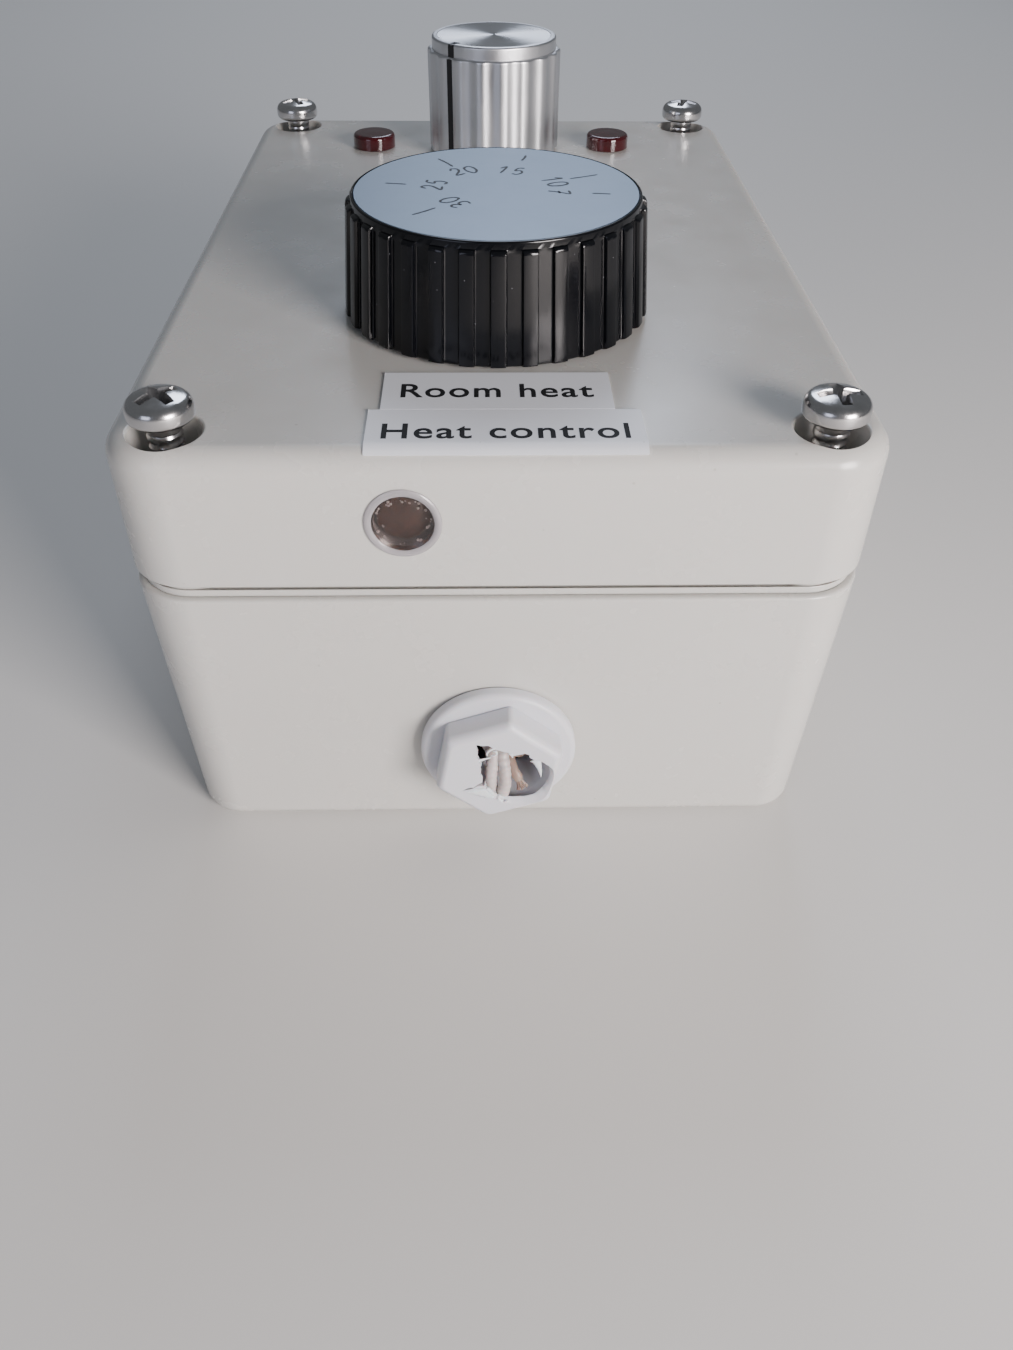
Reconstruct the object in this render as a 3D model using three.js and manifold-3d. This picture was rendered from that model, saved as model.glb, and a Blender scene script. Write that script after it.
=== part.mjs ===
// Room thermostat in a moulded plastic project box, lying on its back.
// Millimetres, +Z out of the lid, origin at the centre of the back face.
// -Y is the end wall with the sensor and the cable gland.
import * as THREE from 'three';
import { mergeVertices } from 'three/addons/utils/BufferGeometryUtils.js';
import Module from 'manifold-3d';

const wasm = await Module();
wasm.setup();

// ---------- driving dimensions ----------
// Box
const boxWidth = 82;
const boxLength = 122;
const boxHeight = 55;
const lidHeight = 16.1;
const cornerRadius = 7;
const wallThickness = 3;
const floorThickness = 2.8;
const lidTopThickness = 2.5;
const lidEdgeRound = 2.5;
const footRound = 1.6;
const ledgeRound = 0.5;
const baseLean = 1.65;          // how far a base wall leans in from its ledge to its foot
const rimHeight = 1.5;          // set-back band of the base under the lid
const rimSetback = 0.8;
const lidSeam = 0.3;
const tongueWidth = 1.2;
const tongueDepth = 2.2;
const tongueClearance = 0.3;
const gasketWidth = 1.0;
const gasketDepth = 1.2;
const gasketOffset = 1.4;       // lid outside to gasket outside
const gasketClearance = 0.08;

// Lid screws
const screwInsetX = 6.7;        // lid side to screw axis
const screwInsetY = 5.3;        // lid end to screw axis
const screwShankRadius = 1.9;
const screwHeadRadius = 3.5;
const screwHeadHeight = 2.9;
const screwUndersideRound = 0.5;
const screwShankLength = 21;
const screwProud = 1.3;         // underside of the head above the lid
const crossLength = 4.8;
const crossWidth = 1.1;
const crossDepth = 1.8;
const wellClearance = 0.4;      // well wall to screw head
const wellDepth = 9;
const screwClearance = 0.25;
const pillarWall = 1.5;         // round each well
const screwHoleExtra = 1;       // pillar hole past the end of a screw that is driven home

// Temperature dial
const dialInset = 36.7;         // lid's front end to dial axis
const dialRootRadius = 18.05;     // at the foot, between the ribs
const dialDraft = 1.1;            // radius lost from foot to top
const dialRibHeight = 0.58;
const dialRibCount = 32;
const dialHeight = 13.4;
const dialLidGap = 0.4;
const dialRimHeight = 0.7;      // plain edge above the ribs
const dialDiscRim = 0.35;       // disc edge to dial outside
const dialDiscThickness = 0.6;
const dialDiscClearance = 0.1;
const dialTopThickness = 1.9;
const dialSkirtThickness = 2.2;
const dialHubWall = 2.2;

// Level knob
const knobX = 0.5;
const knobInset = 18.7;         // lid's back end to knob axis
const knobHeight = 16.6;
const knobLidGap = 0.4;
const knobRadius = 10.75;
const knobFluteCount = 18;
const knobFluteDepth = 0.35;
const knobBandStep = 0.75;      // how far the plain band stands in from the flutes
const knobBandHeight = 1.8;
const knobShellThickness = 1.6;
const knobLineAngle = -132.8;   // degrees, at the anticlockwise stop
const knobLineWidth = 0.9;
const knobLineDepth = 0.25;
const knobCoreClearance = 0.1;

// Potentiometers and their fixings
const shaftRadius = 3;
const shaftClearance = 0.2;
const potRadius = 8.3;
const potDepth = 8.6;
const bushWall = 0.8;
const bushPlateRadius = 7.4;
const bushPlateThickness = 0.6;
const bushPastNut = 0.3;
const bushHoleClearance = 0.2;
const washerRadius = 6.8;
const washerThickness = 0.5;
const nutFlats = 11;
const nutThickness = 2.2;
const hubHeadroom = 0.6;        // space between the nut or bush and a knob's hub
const insertRadius = 5;
const grubRadius = 1.5;
const grubClearance = 0.1;
const contactGap = 0.02;        // between pieces that rest on each other

// Indicator lamps
const lampX = 19.8;
const lampInset = 18;           // lid's back end to lamp axis
const lampRadius = 3.5;
const lampRim = 1.7;            // straight side above the lid
const lampDome = 0.55;          // from the side up to the flat top
const lampStemStep = 0.6;
const lampStemDepth = 3.6;
const lampHoleClearance = 0.15;
const lampBoreRadius = 2.1;
const ledRadius = 1.5;
const ledFlangeRadius = 1.9;
const ledHeight = 4.4;

// Label strips
const labelThickness = 0.12;
const upperLabelLeft = -12.6;
const upperLabelRight = 12.2;
const lowerLabelLeft = -13.8;
const lowerLabelRight = 14.9;
const labelWidth = 8.5;
const upperLabelInset = 17.9;   // lid end to the upper strip's back edge
const labelSpacing = 0.08;

// Temperature sensor in the lid's end wall
const sensorX = -10.15;
const sensorDrop = 7.9;         // lid top to sensor axis
const sensorRingRadius = 4.1;
const sensorRingLip = 0.35;
const sensorHoleClearance = 0.1;
const sensorRingWall = 0.4;
const sensorRingProud = 0.35;
const sensorTail = 1.4;         // ring past the inner face of the wall
const windowThickness = 1.2;
const windowSetback = 0.1;      // window face behind the ring's face
const beadThickness = 1.6;

// Cable gland in the base's end wall
const glandX = -0.15;
const glandZ = 14.3;
const glandFlangeRadius = 9.5;
const glandFlangeThickness = 1.8;
const glandFlangeRound = 0.8;
const glandSpigotRadius = 6;
const glandSpigotLength = 10;
const glandHoleClearance = 0.2;
const glandSpigotWall = 1.3;
const glandCollarStep = 0.4;
const glandCollarLength = 1.7;
const glandCollarWall = 0.6;
const capWall = 0.55;           // collar room to the middle of a flat
const capTwist = -10;           // degrees from corner up
const capLength = 3.6;
const capRound = 0.8;
const capFrontWall = 0.7;
const capBreachDepth = 1.5;
const capHollowStep = 0.4;      // cap's hollow inside the collar
const capClearance = 0.15;
const locknutWall = 2.31;       // thread to the middle of a flat
const locknutThickness = 4;
const sealClearance = 0.1;
const sealWall = 1.7;
const coreSealGap = 0.55;       // outer cores to the seal's wall
const sealLength = 4;

// Wire cores, cut off in the gland's mouth
const coreRadius = 0.75;
const coreSides = 8;

// Circuit board under the lid
const boardSideInset = 10;      // box side to board edge
const boardFrontInset = 17;     // box end to board edge
const boardBackInset = 11;
const boardThickness = 1.6;
const boardDrop = 17;           // lid top to board top
const partGap = 0.1;            // board to the parts on it
const terminalPitch = 5.08;
const terminalDepth = 8.2;
const terminalHeight = 10;
const terminalInset = 4;        // board's front edge to terminal block
const terminalScrewRadius = 1.9;
const wallFixingInset = 15;     // box end to hole axis
const wallFixingRadius = 2.2;
const postInsetX = 16;          // box side to post axis
const postInsetY = 31;          // box end to post axis
const postRadius = 3;
const postHeight = 5;
const postHoleRadius = 1.2;

// ---------- heights and places that follow ----------
const lidBottom = boxHeight - lidHeight;
const rimTop = lidBottom - lidSeam;
const ledgeZ = rimTop - rimHeight;
const halfWidth = boxWidth / 2;
const halfLength = boxLength / 2;
const lidUnderside = boxHeight - lidTopThickness;
const screwX = halfWidth - screwInsetX;
const screwY = halfLength - screwInsetY;
const dialY = -halfLength + dialInset;
const knobY = halfLength - knobInset;
const lampY = halfLength - lampInset;
const postX = halfWidth - postInsetX;
const postY = halfLength - postInsetY;
const wallFixingY = halfLength - wallFixingInset;
const boardHalfWidth = halfWidth - boardSideInset;
const boardFrontY = -halfLength + boardFrontInset;
const boardBackY = halfLength - boardBackInset;
const boardMiddleY = (boardFrontY + boardBackY) / 2;
const terminalY = boardFrontY + terminalInset;
const sensorZ = boxHeight - sensorDrop;
const boardTop = boxHeight - boardDrop;
const boardBottom = boardTop - boardThickness;
const bushBore = shaftRadius + shaftClearance;
const nutTop = boxHeight + contactGap * 2 + washerThickness + nutThickness;
const bushTop = nutTop + bushPastNut;
const hubBottom = bushTop + hubHeadroom;
const wellRadius = screwHeadRadius + wellClearance;
const pillarRadius = wellRadius + pillarWall;
const dialDiscRadius = dialRootRadius - dialDraft - dialDiscRim;
const dialHubRadius = insertRadius + dialHubWall;
const knobBandRadius = knobRadius - knobBandStep;
const bushRadius = bushBore + bushWall;
const nutCornerRadius = nutFlats / Math.sqrt(3);
const lampStemRadius = lampRadius - lampStemStep;
const sensorBarrelRadius = sensorRingRadius - sensorRingLip;
const sensorBoreRadius = sensorBarrelRadius - sensorRingWall;
const glandBoreRadius = glandSpigotRadius - glandSpigotWall;
const glandCollarRadius = glandSpigotRadius + glandCollarStep;
const flatToCorner = 1 / Math.cos(Math.PI / 6);
const capCornerRadius = (glandCollarRadius + capClearance + capWall) * flatToCorner;
const capHollowRadius = glandCollarRadius - capHollowStep;
const locknutCornerRadius = (glandSpigotRadius + locknutWall) * flatToCorner;
const sealOuterRadius = glandBoreRadius - sealClearance;
const sealInnerRadius = sealOuterRadius - sealWall;
const glandWallY = -(halfLength - baseLean * (1 - (glandZ + glandFlangeRadius) / ledgeZ));

// ---------- materials ----------
function plastic(color, roughness) {
  return new THREE.MeshStandardMaterial({ color, roughness, metalness: 0 });
}

function metal(color, roughness) {
  return new THREE.MeshStandardMaterial({ color, roughness, metalness: 1 });
}

const boxPlastic = plastic('#d9d6cc', 0.35);
const glandPlastic = plastic('#e6e6e6', 0.4);
const rubber = plastic('#2b2b2b', 0.9);
const blackPlastic = plastic('#101010', 0.25);
const whiteTape = plastic('#f2f2f0', 0.5);
const redLens = plastic('#5a0c12', 0.15);
const clearPlastic = plastic('#cfc9c6', 0.1);
const wirePlastic = plastic('#ded8d2', 0.5);
const boardLaminate = plastic('#b08a4a', 0.6);
const bluePlastic = plastic('#2b5fa8', 0.4);
const greenPlastic = plastic('#3d8a52', 0.45);
const beadBrown = plastic('#5a3a26', 0.6);
const nickel = metal('#b9b6b0', 0.25);
const aluminium = metal('#d0d0d2', 0.3);
const brass = metal('#b8964a', 0.35);
const steel = metal('#9a9a9c', 0.35);

// ---------- geometry helpers ----------
// Turns a closed geometry into a solid with its faces pointing out.
function solidOf(geometry) {
  const bare = geometry.clone();
  for (const name of Object.keys(bare.attributes)) {
    if (name !== 'position') bare.deleteAttribute(name);
  }
  const merged = mergeVertices(bare, 1e-4);
  const points = merged.attributes.position.array;
  const triangles = [];
  const index = merged.index.array;
  let volume = 0;
  for (let i = 0; i < index.length; i += 3) {
    const [a, b, c] = [index[i], index[i + 1], index[i + 2]];
    if (a === b || b === c || c === a) continue;
    triangles.push(a, b, c);
    const p = [a, b, c].map((k) => new THREE.Vector3().fromArray(points, 3 * k));
    volume += p[0].dot(p[1].cross(p[2]));
  }
  if (volume < 0) triangles.reverse();
  return new wasm.Manifold(new wasm.Mesh({
    numProp: 3,
    vertProperties: new Float32Array(points),
    triVerts: new Uint32Array(triangles),
  }));
}

function cut(solid, ...tools) {
  return tools.reduce((rest, tool) => rest.subtract(tool), solid);
}

function join(...solids) {
  return solids.reduce((sum, solid) => sum.add(solid));
}

// Skins a stack of rings that have the same number of points, and closes both ends.
function loft(rings) {
  const count = rings[0].length;
  const positions = rings.flat(2);
  const index = [];
  for (let level = 0; level + 1 < rings.length; level++) {
    for (let i = 0; i < count; i++) {
      const a = level * count + i;
      const b = level * count + (i + 1) % count;
      index.push(a, b, b + count, a, b + count, a + count);
    }
  }
  for (const [ring, first] of [[rings[0], 0], [rings[rings.length - 1], (rings.length - 1) * count]]) {
    const centre = [0, 1, 2].map((k) => ring.reduce((sum, p) => sum + p[k], 0) / count);
    const hub = positions.length / 3;
    positions.push(...centre);
    for (let i = 0; i < count; i++) {
      const next = (i + 1) % count;
      if (first === 0) index.push(hub, first + next, first + i);
      else index.push(hub, first + i, first + next);
    }
  }
  const geometry = new THREE.BufferGeometry();
  geometry.setAttribute('position', new THREE.Float32BufferAttribute(positions, 3));
  geometry.setIndex(index);
  return solidOf(geometry);
}

// The box's outline at one height, moved in by inset.
function boxRing(inset, z, steps = 4) {
  const radius = Math.max(cornerRadius - inset, 0.5);
  const x = halfWidth - inset - radius;
  const y = halfLength - inset - radius;
  const ring = [];
  [[x, y], [-x, y], [-x, -y], [x, -y]].forEach(([cx, cy], corner) => {
    for (let i = 0; i <= steps; i++) {
      const angle = (corner + i / steps) * Math.PI / 2;
      ring.push([cx + radius * Math.cos(angle), cy + radius * Math.sin(angle), z]);
    }
  });
  return ring;
}

function polarRing(radiusAt, count, z, turn = 0) {
  return Array.from({ length: count }, (_, i) => {
    const angle = turn + 2 * Math.PI * i / count;
    const radius = radiusAt(i);
    return [radius * Math.cos(angle), radius * Math.sin(angle), z];
  });
}

function disc(radius, z0, z1, segments = 18, x = 0, y = 0) {
  const geometry = new THREE.CylinderGeometry(radius, radius, z1 - z0, segments);
  geometry.rotateX(Math.PI / 2).translate(x, y, (z0 + z1) / 2);
  return solidOf(geometry);
}

// A cylinder along Y at (x, z).
function rod(radius, y0, y1, segments, x, z) {
  const geometry = new THREE.CylinderGeometry(radius, radius, y1 - y0, segments);
  geometry.translate(x, (y0 + y1) / 2, z);
  return solidOf(geometry);
}

function block(x0, x1, y0, y1, z0, z1) {
  const geometry = new THREE.BoxGeometry(x1 - x0, y1 - y0, z1 - z0);
  geometry.translate((x0 + x1) / 2, (y0 + y1) / 2, (z0 + z1) / 2);
  return solidOf(geometry);
}

// A block centred on (x, y).
function blockAt(x, y, sizeX, sizeY, z0, z1) {
  return block(x - sizeX / 2, x + sizeX / 2, y - sizeY / 2, y + sizeY / 2, z0, z1);
}

// A turned piece about Z, from [radius, z] points that start and end on the axis.
function turned(profile, segments = 18) {
  const points = profile.map(([radius, z]) => new THREE.Vector2(radius, z));
  return solidOf(new THREE.LatheGeometry(points, segments).rotateX(Math.PI / 2));
}

function hexagon(cornerToCentre, z0, z1, turn = 0) {
  return loft([z0, z1].map((z) => polarRing(() => cornerToCentre, 6, z, turn)));
}

function wire(points, radius, sides, steps) {
  const curve = new THREE.CatmullRomCurve3(points.map((p) => new THREE.Vector3(...p)));
  const section = new THREE.Shape();
  for (let i = 0; i < sides; i++) {
    const angle = 2 * Math.PI * i / sides;
    const [x, y] = [radius * Math.cos(angle), radius * Math.sin(angle)];
    if (i === 0) section.moveTo(x, y);
    else section.lineTo(x, y);
  }
  section.closePath();
  return solidOf(new THREE.ExtrudeGeometry(section, { extrudePath: curve, steps, bevelEnabled: false }));
}

const thermostat = new THREE.Group();

function add(name, solid, material, parent = thermostat) {
  const { numProp, vertProperties, triVerts } = solid.getMesh();
  const positions = new Float32Array(vertProperties.length / numProp * 3);
  for (let i = 0; i < positions.length / 3; i++) {
    for (let k = 0; k < 3; k++) positions[3 * i + k] = vertProperties[numProp * i + k];
  }
  const geometry = new THREE.BufferGeometry();
  geometry.setAttribute('position', new THREE.BufferAttribute(positions, 3));
  geometry.setIndex(new THREE.BufferAttribute(new Uint32Array(triVerts), 1));
  geometry.computeVertexNormals();
  const mesh = new THREE.Mesh(geometry, material);
  mesh.name = name;
  parent.add(mesh);
}

function groupAt(x, y, z) {
  const group = new THREE.Group();
  group.position.set(x, y, z);
  thermostat.add(group);
  return group;
}

const corners = [
  ['front_left', -1, -1],
  ['front_right', 1, -1],
  ['back_left', -1, 1],
  ['back_right', 1, 1],
];

function cornerDiscs(radius, z0, z1, segments) {
  return corners.map(([, sx, sy]) => disc(radius, z0, z1, segments, sx * screwX, sy * screwY));
}

// ---------- base ----------
// Distance that the base wall has leaned in at height z.
function leanAt(z) {
  return baseLean * Math.max(0, 1 - z / ledgeZ);
}

function baseShell() {
  const outside = [];
  for (let i = 0; i <= 3; i++) {
    const angle = i / 3 * Math.PI / 2;
    const z = footRound * (1 - Math.cos(angle));
    outside.push(boxRing(leanAt(z) + footRound * (1 - Math.sin(angle)), z));
  }
  outside.push(boxRing(leanAt(ledgeZ - ledgeRound), ledgeZ - ledgeRound));
  outside.push(boxRing(ledgeRound * 0.3, ledgeZ - ledgeRound * 0.3));
  outside.push(boxRing(ledgeRound, ledgeZ));
  const rim = loft([boxRing(rimSetback, ledgeZ - 1), boxRing(rimSetback, rimTop)]);
  const pillars = cornerDiscs(pillarRadius, 0, boxHeight, 16);
  const hollow = cut(
    loft([
      boxRing(wallThickness + leanAt(floorThickness), floorThickness),
      boxRing(wallThickness, ledgeZ - tongueDepth),
      boxRing(wallThickness, boxHeight),
    ]),
    ...pillars,
  );
  const posts = [-1, 1].flatMap((sx) => [-1, 1].map((sy) => cut(
    disc(postRadius, floorThickness - 1, floorThickness + postHeight, 12, sx * postX, sy * postY),
    disc(postHoleRadius, floorThickness + 1, floorThickness + postHeight + 1, 8, sx * postX, sy * postY),
  )));
  const shankEnd = boxHeight - wellDepth - screwShankLength;
  const screwHoles = cornerDiscs(screwShankRadius + screwClearance, shankEnd - screwHoleExtra, boxHeight, 14);
  const wallFixings = [-1, 1].map((sy) => disc(wallFixingRadius, -1, floorThickness + 1, 14, 0, sy * wallFixingY));
  const glandHole = rod(
    glandSpigotRadius + glandHoleClearance, -boxLength, -halfLength + 3 * wallThickness, 28, glandX, glandZ,
  );
  const shell = cut(join(loft(outside), rim), hollow);
  return cut(join(shell, ...posts), ...screwHoles, ...wallFixings, glandHole);
}

add('base_shell', baseShell(), boxPlastic);

// ---------- lid ----------
function lidShell() {
  const outside = [boxRing(ledgeRound * 0.6, lidBottom), boxRing(0, lidBottom + ledgeRound)];
  for (let i = 0; i <= 4; i++) {
    const angle = i / 4 * Math.PI / 2;
    const inset = lidEdgeRound * (1 - Math.cos(angle));
    outside.push(boxRing(inset, boxHeight - lidEdgeRound * (1 - Math.sin(angle))));
  }
  const pillars = cornerDiscs(pillarRadius, 0, boxHeight, 16);
  const hollow = cut(
    loft([boxRing(wallThickness, 0), boxRing(wallThickness, lidUnderside)]),
    ...pillars,
  );
  const tongueOutside = wallThickness + tongueClearance;
  const tongueTop = lidBottom + wallThickness;
  const tongue = cut(
    loft([boxRing(tongueOutside, lidBottom - tongueDepth), boxRing(tongueOutside, lidBottom)]),
    loft([boxRing(tongueOutside + tongueWidth, 0), boxRing(tongueOutside + tongueWidth, boxHeight)]),
    ...cornerDiscs(pillarRadius + tongueClearance, 0, boxHeight, 16),
  );
  // The tongue's root thickens the wall above the seam, so that it hangs from solid plastic.
  const tongueRoot = cut(
    loft([
      boxRing(wallThickness - 0.5, lidBottom),
      boxRing(wallThickness - 0.5, tongueTop),
    ]),
    loft([
      boxRing(tongueOutside + tongueWidth, lidBottom - 1),
      boxRing(wallThickness, tongueTop + 0.5),
    ]),
  );
  const gasketGroove = gasketRing(gasketClearance, lidBottom - 1, lidBottom + gasketDepth);
  const wells = cornerDiscs(wellRadius, boxHeight - wellDepth, boxHeight + 1, 24);
  const screwHoles = cornerDiscs(screwShankRadius + screwClearance, 0, boxHeight, 14);
  const bushHole = bushRadius + bushHoleClearance;
  const lampHole = lampStemRadius + lampHoleClearance;
  const topHoles = [
    disc(bushHole, lidUnderside - 1, boxHeight + 1, 24, 0, dialY),
    disc(bushHole, lidUnderside - 1, boxHeight + 1, 24, knobX, knobY),
    disc(lampHole, lidUnderside - 1, boxHeight + 1, 20, -lampX, lampY),
    disc(lampHole, lidUnderside - 1, boxHeight + 1, 20, lampX, lampY),
  ];
  const sensorHole = rod(
    sensorBarrelRadius + sensorHoleClearance, -boxLength, -halfLength + 2 * wallThickness, 24, sensorX, sensorZ,
  );
  const shell = cut(loft(outside), hollow);
  return cut(join(shell, tongueRoot, tongue), gasketGroove, ...wells, ...screwHoles, ...topHoles, sensorHole);
}

// The closed ring of the lid gasket, widened by clearance on both sides.
function gasketRing(clearance, z0, z1) {
  const outer = gasketOffset - clearance;
  const inner = gasketOffset + gasketWidth + clearance;
  return cut(
    loft([boxRing(outer, z0), boxRing(outer, z1)]),
    loft([boxRing(inner, z0 - 1), boxRing(inner, z1 + 1)]),
  );
}

add('lid_shell', lidShell(), boxPlastic);
add('lid_gasket', gasketRing(0, rimTop + contactGap, lidBottom + gasketDepth - contactGap), rubber);

// ---------- lid screws ----------
function lidScrew() {
  const top = screwHeadHeight;
  const blank = turned([
    [0, -screwShankLength],
    [screwShankRadius, -screwShankLength],
    [screwShankRadius, 0],
    [screwHeadRadius - screwUndersideRound, 0],
    [screwHeadRadius, screwUndersideRound],
    [screwHeadRadius, top * 0.62],
    [screwHeadRadius * 0.9, top * 0.9],
    [screwHeadRadius * 0.7, top],
    [0, top],
  ], 16);
  return cut(
    blank,
    blockAt(0, 0, crossLength, crossWidth, top - crossDepth, top + 1),
    blockAt(0, 0, crossWidth, crossLength, top - crossDepth, top + 1),
  );
}

for (const [place, sx, sy] of corners) {
  const group = groupAt(sx * screwX, sy * screwY, boxHeight + screwProud);
  add(`lid_screw_${place}`, lidScrew(), nickel, group);
}

// ---------- potentiometers ----------
// A potentiometer at its place on the lid: can, bush, washer and nut. z = 0 is the lid's top.
function addPotentiometer(name, x, y) {
  const group = groupAt(x, y, boxHeight);
  const plateTop = -lidTopThickness - contactGap;
  const canTop = plateTop - bushPlateThickness - contactGap;
  const canBottom = canTop - potDepth;
  const boardLevel = -boardDrop + partGap;
  const pins = [-1, 0, 1].map((side) => join(
    blockAt(side * 5, -potRadius + 0.5, 1.2, 5, canBottom + 1, canBottom + 1.6),
    blockAt(side * 5, -potRadius - 1.7, 1.2, 0.6, boardLevel, canBottom + 1.6),
  ));
  const can = cut(
    join(disc(potRadius, canBottom, canTop), ...pins),
    disc(shaftRadius + shaftClearance, canTop - 6, canTop + 1, 16),
  );
  const bush = cut(
    join(
      disc(bushPlateRadius, plateTop - bushPlateThickness, plateTop),
      disc(bushRadius, plateTop - 0.3, bushTop - boxHeight, 20),
    ),
    disc(bushBore, plateTop - 2, bushTop, 20),
  );
  const washer = cut(
    disc(washerRadius, contactGap, contactGap + washerThickness),
    disc(bushRadius + 0.15, -1, 2, 20),
  );
  const nutBottom = 2 * contactGap + washerThickness;
  const nut = cut(
    hexagon(nutCornerRadius, nutBottom, nutBottom + nutThickness),
    disc(bushRadius + 0.1, nutBottom - 1, nutBottom + nutThickness + 1, 20),
  );
  add(`${name}_pot_can`, can, steel, group);
  add(`${name}_pot_bush`, bush, brass, group);
  add(`${name}_pot_washer`, washer, nickel, group);
  add(`${name}_pot_nut`, nut, nickel, group);
}

// The spindle starts inside the can and ends inside the knob, at topZ above the lid.
function addShaft(name, x, y, topZ) {
  const bottom = -lidTopThickness - bushPlateThickness - 5;
  add(`${name}_shaft`, disc(shaftRadius, bottom, topZ, 16), aluminium, groupAt(x, y, boxHeight));
}

// A grub screw along +Y, with a slot in its outer end.
function grubScrew(y0, y1, z) {
  return cut(rod(grubRadius, y0, y1, 12, 0, z), block(-0.3, 0.3, y1 - 0.8, y1 + 1, z - 2, z + 2));
}

addPotentiometer('dial', 0, dialY);
addPotentiometer('knob', knobX, knobY);

// ---------- temperature dial ----------
function addDial() {
  const group = groupAt(0, dialY, 0);
  const bottom = boxHeight + dialLidGap;
  const top = bottom + dialHeight;
  const ribTop = top - dialRimHeight;
  const ceiling = top - dialDiscThickness - dialTopThickness;
  const pointsPerRib = 4;
  const crest = dialRootRadius + dialRibHeight;
  const shape = [0, 1, 1, 0];
  const ribTurn = -(2 * Math.PI / dialRibCount) * 1.5 / pointsPerRib;     // a rib's middle on +X
  const rootAt = (z) => dialRootRadius - dialDraft * (z - bottom) / dialHeight;
  const ribRing = (z, share) => polarRing(
    (i) => rootAt(z) + dialRibHeight * share * shape[i % pointsPerRib],
    dialRibCount * pointsPerRib,
    z,
    ribTurn,
  );
  const body = loft([
    ribRing(bottom, 1),
    ribRing(ribTop - 0.5, 1),
    ribRing(ribTop, 0),
    ribRing(top, 0),
  ]);
  const recess = disc(
    dialDiscRadius + dialDiscClearance, top - dialDiscThickness - contactGap, top + 1, 48,
  );
  const underside = cut(
    disc(dialRootRadius - dialSkirtThickness, bottom - 1, ceiling, 28),
    disc(dialHubRadius, hubBottom, ceiling + 1, 18),
  );
  const insertTop = ceiling;
  const insertPocket = disc(insertRadius + 0.05, 0, insertTop + contactGap, 20);
  const grubZ = (hubBottom + insertTop) / 2;
  const grubHole = rod(grubRadius + grubClearance, 0, crest + 1, 14, 0, grubZ);
  add('dial_body', cut(body, recess, underside, insertPocket, grubHole), blackPlastic, group);
  add('dial_scale_disc', disc(dialDiscRadius, top - dialDiscThickness, top, 48), aluminium, group);
  const insert = cut(
    disc(insertRadius, hubBottom, insertTop, 20),
    disc(shaftRadius + 0.05, 0, insertTop + 1, 16),
    grubHole,
  );
  add('dial_insert', insert, brass, group);
  add('dial_grub_screw', grubScrew(shaftRadius + 0.1, dialHubRadius, grubZ), steel, group);
  addShaft('dial', 0, dialY, insertTop - 0.6 - boxHeight);
}

addDial();

// ---------- level knob ----------
function addKnob() {
  const group = groupAt(knobX, knobY, 0);
  const bottom = boxHeight + knobLidGap;
  const top = bottom + knobHeight;
  const bandBottom = top - knobBandHeight;
  const pointsPerFlute = 4;
  const depth = [0, 0.8, 1, 0.8];
  const count = knobFluteCount * pointsPerFlute;
  const lineAngle = THREE.MathUtils.degToRad(knobLineAngle);
  const fluteRing = (z, share) => polarRing(
    (i) => THREE.MathUtils.lerp(
      knobBandRadius, knobRadius - knobFluteDepth * depth[i % pointsPerFlute], share,
    ),
    count,
    z,
    lineAngle,
  );
  const plainRing = (z, inset) => polarRing(() => knobBandRadius - inset, count, z, lineAngle);
  const body = loft([
    fluteRing(bottom, 1),
    fluteRing(bandBottom - 0.5, 1),
    fluteRing(bandBottom, 0),
    plainRing(top - 0.4, 0),
    plainRing(top, 0.4),
  ]);
  const coreRadius = knobBandRadius - knobShellThickness;
  const ceiling = top - knobShellThickness;
  const line = solidOf(
    new THREE.BoxGeometry(2, knobLineWidth, knobHeight + 2)
      .translate(knobRadius - knobLineDepth + 1, 0, bottom + knobHeight / 2 - 0.6)
      .rotateZ(lineAngle),
  );
  const grubZ = (hubBottom + ceiling) / 2;
  const grubHole = rod(grubRadius + grubClearance, 0, knobRadius + 1, 14, 0, grubZ);
  const shell = cut(body, disc(coreRadius, bottom - 1, ceiling, 24), line, grubHole);
  add('knob_shell', shell, aluminium, group);
  const core = cut(
    disc(coreRadius - knobCoreClearance, bottom + 0.4, ceiling - contactGap, 20),
    disc(Math.max(washerRadius, nutCornerRadius) + hubHeadroom, bottom - 1, hubBottom, 20),
    disc(shaftRadius + 0.05, 0, ceiling - 1.5, 16),
    grubHole,
  );
  add('knob_core', core, blackPlastic, group);
  add('knob_grub_screw', grubScrew(shaftRadius + 0.1, coreRadius - 0.2, grubZ), steel, group);
  addShaft('knob', knobX, knobY, ceiling - 1.9 - boxHeight);
}

addKnob();

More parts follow.
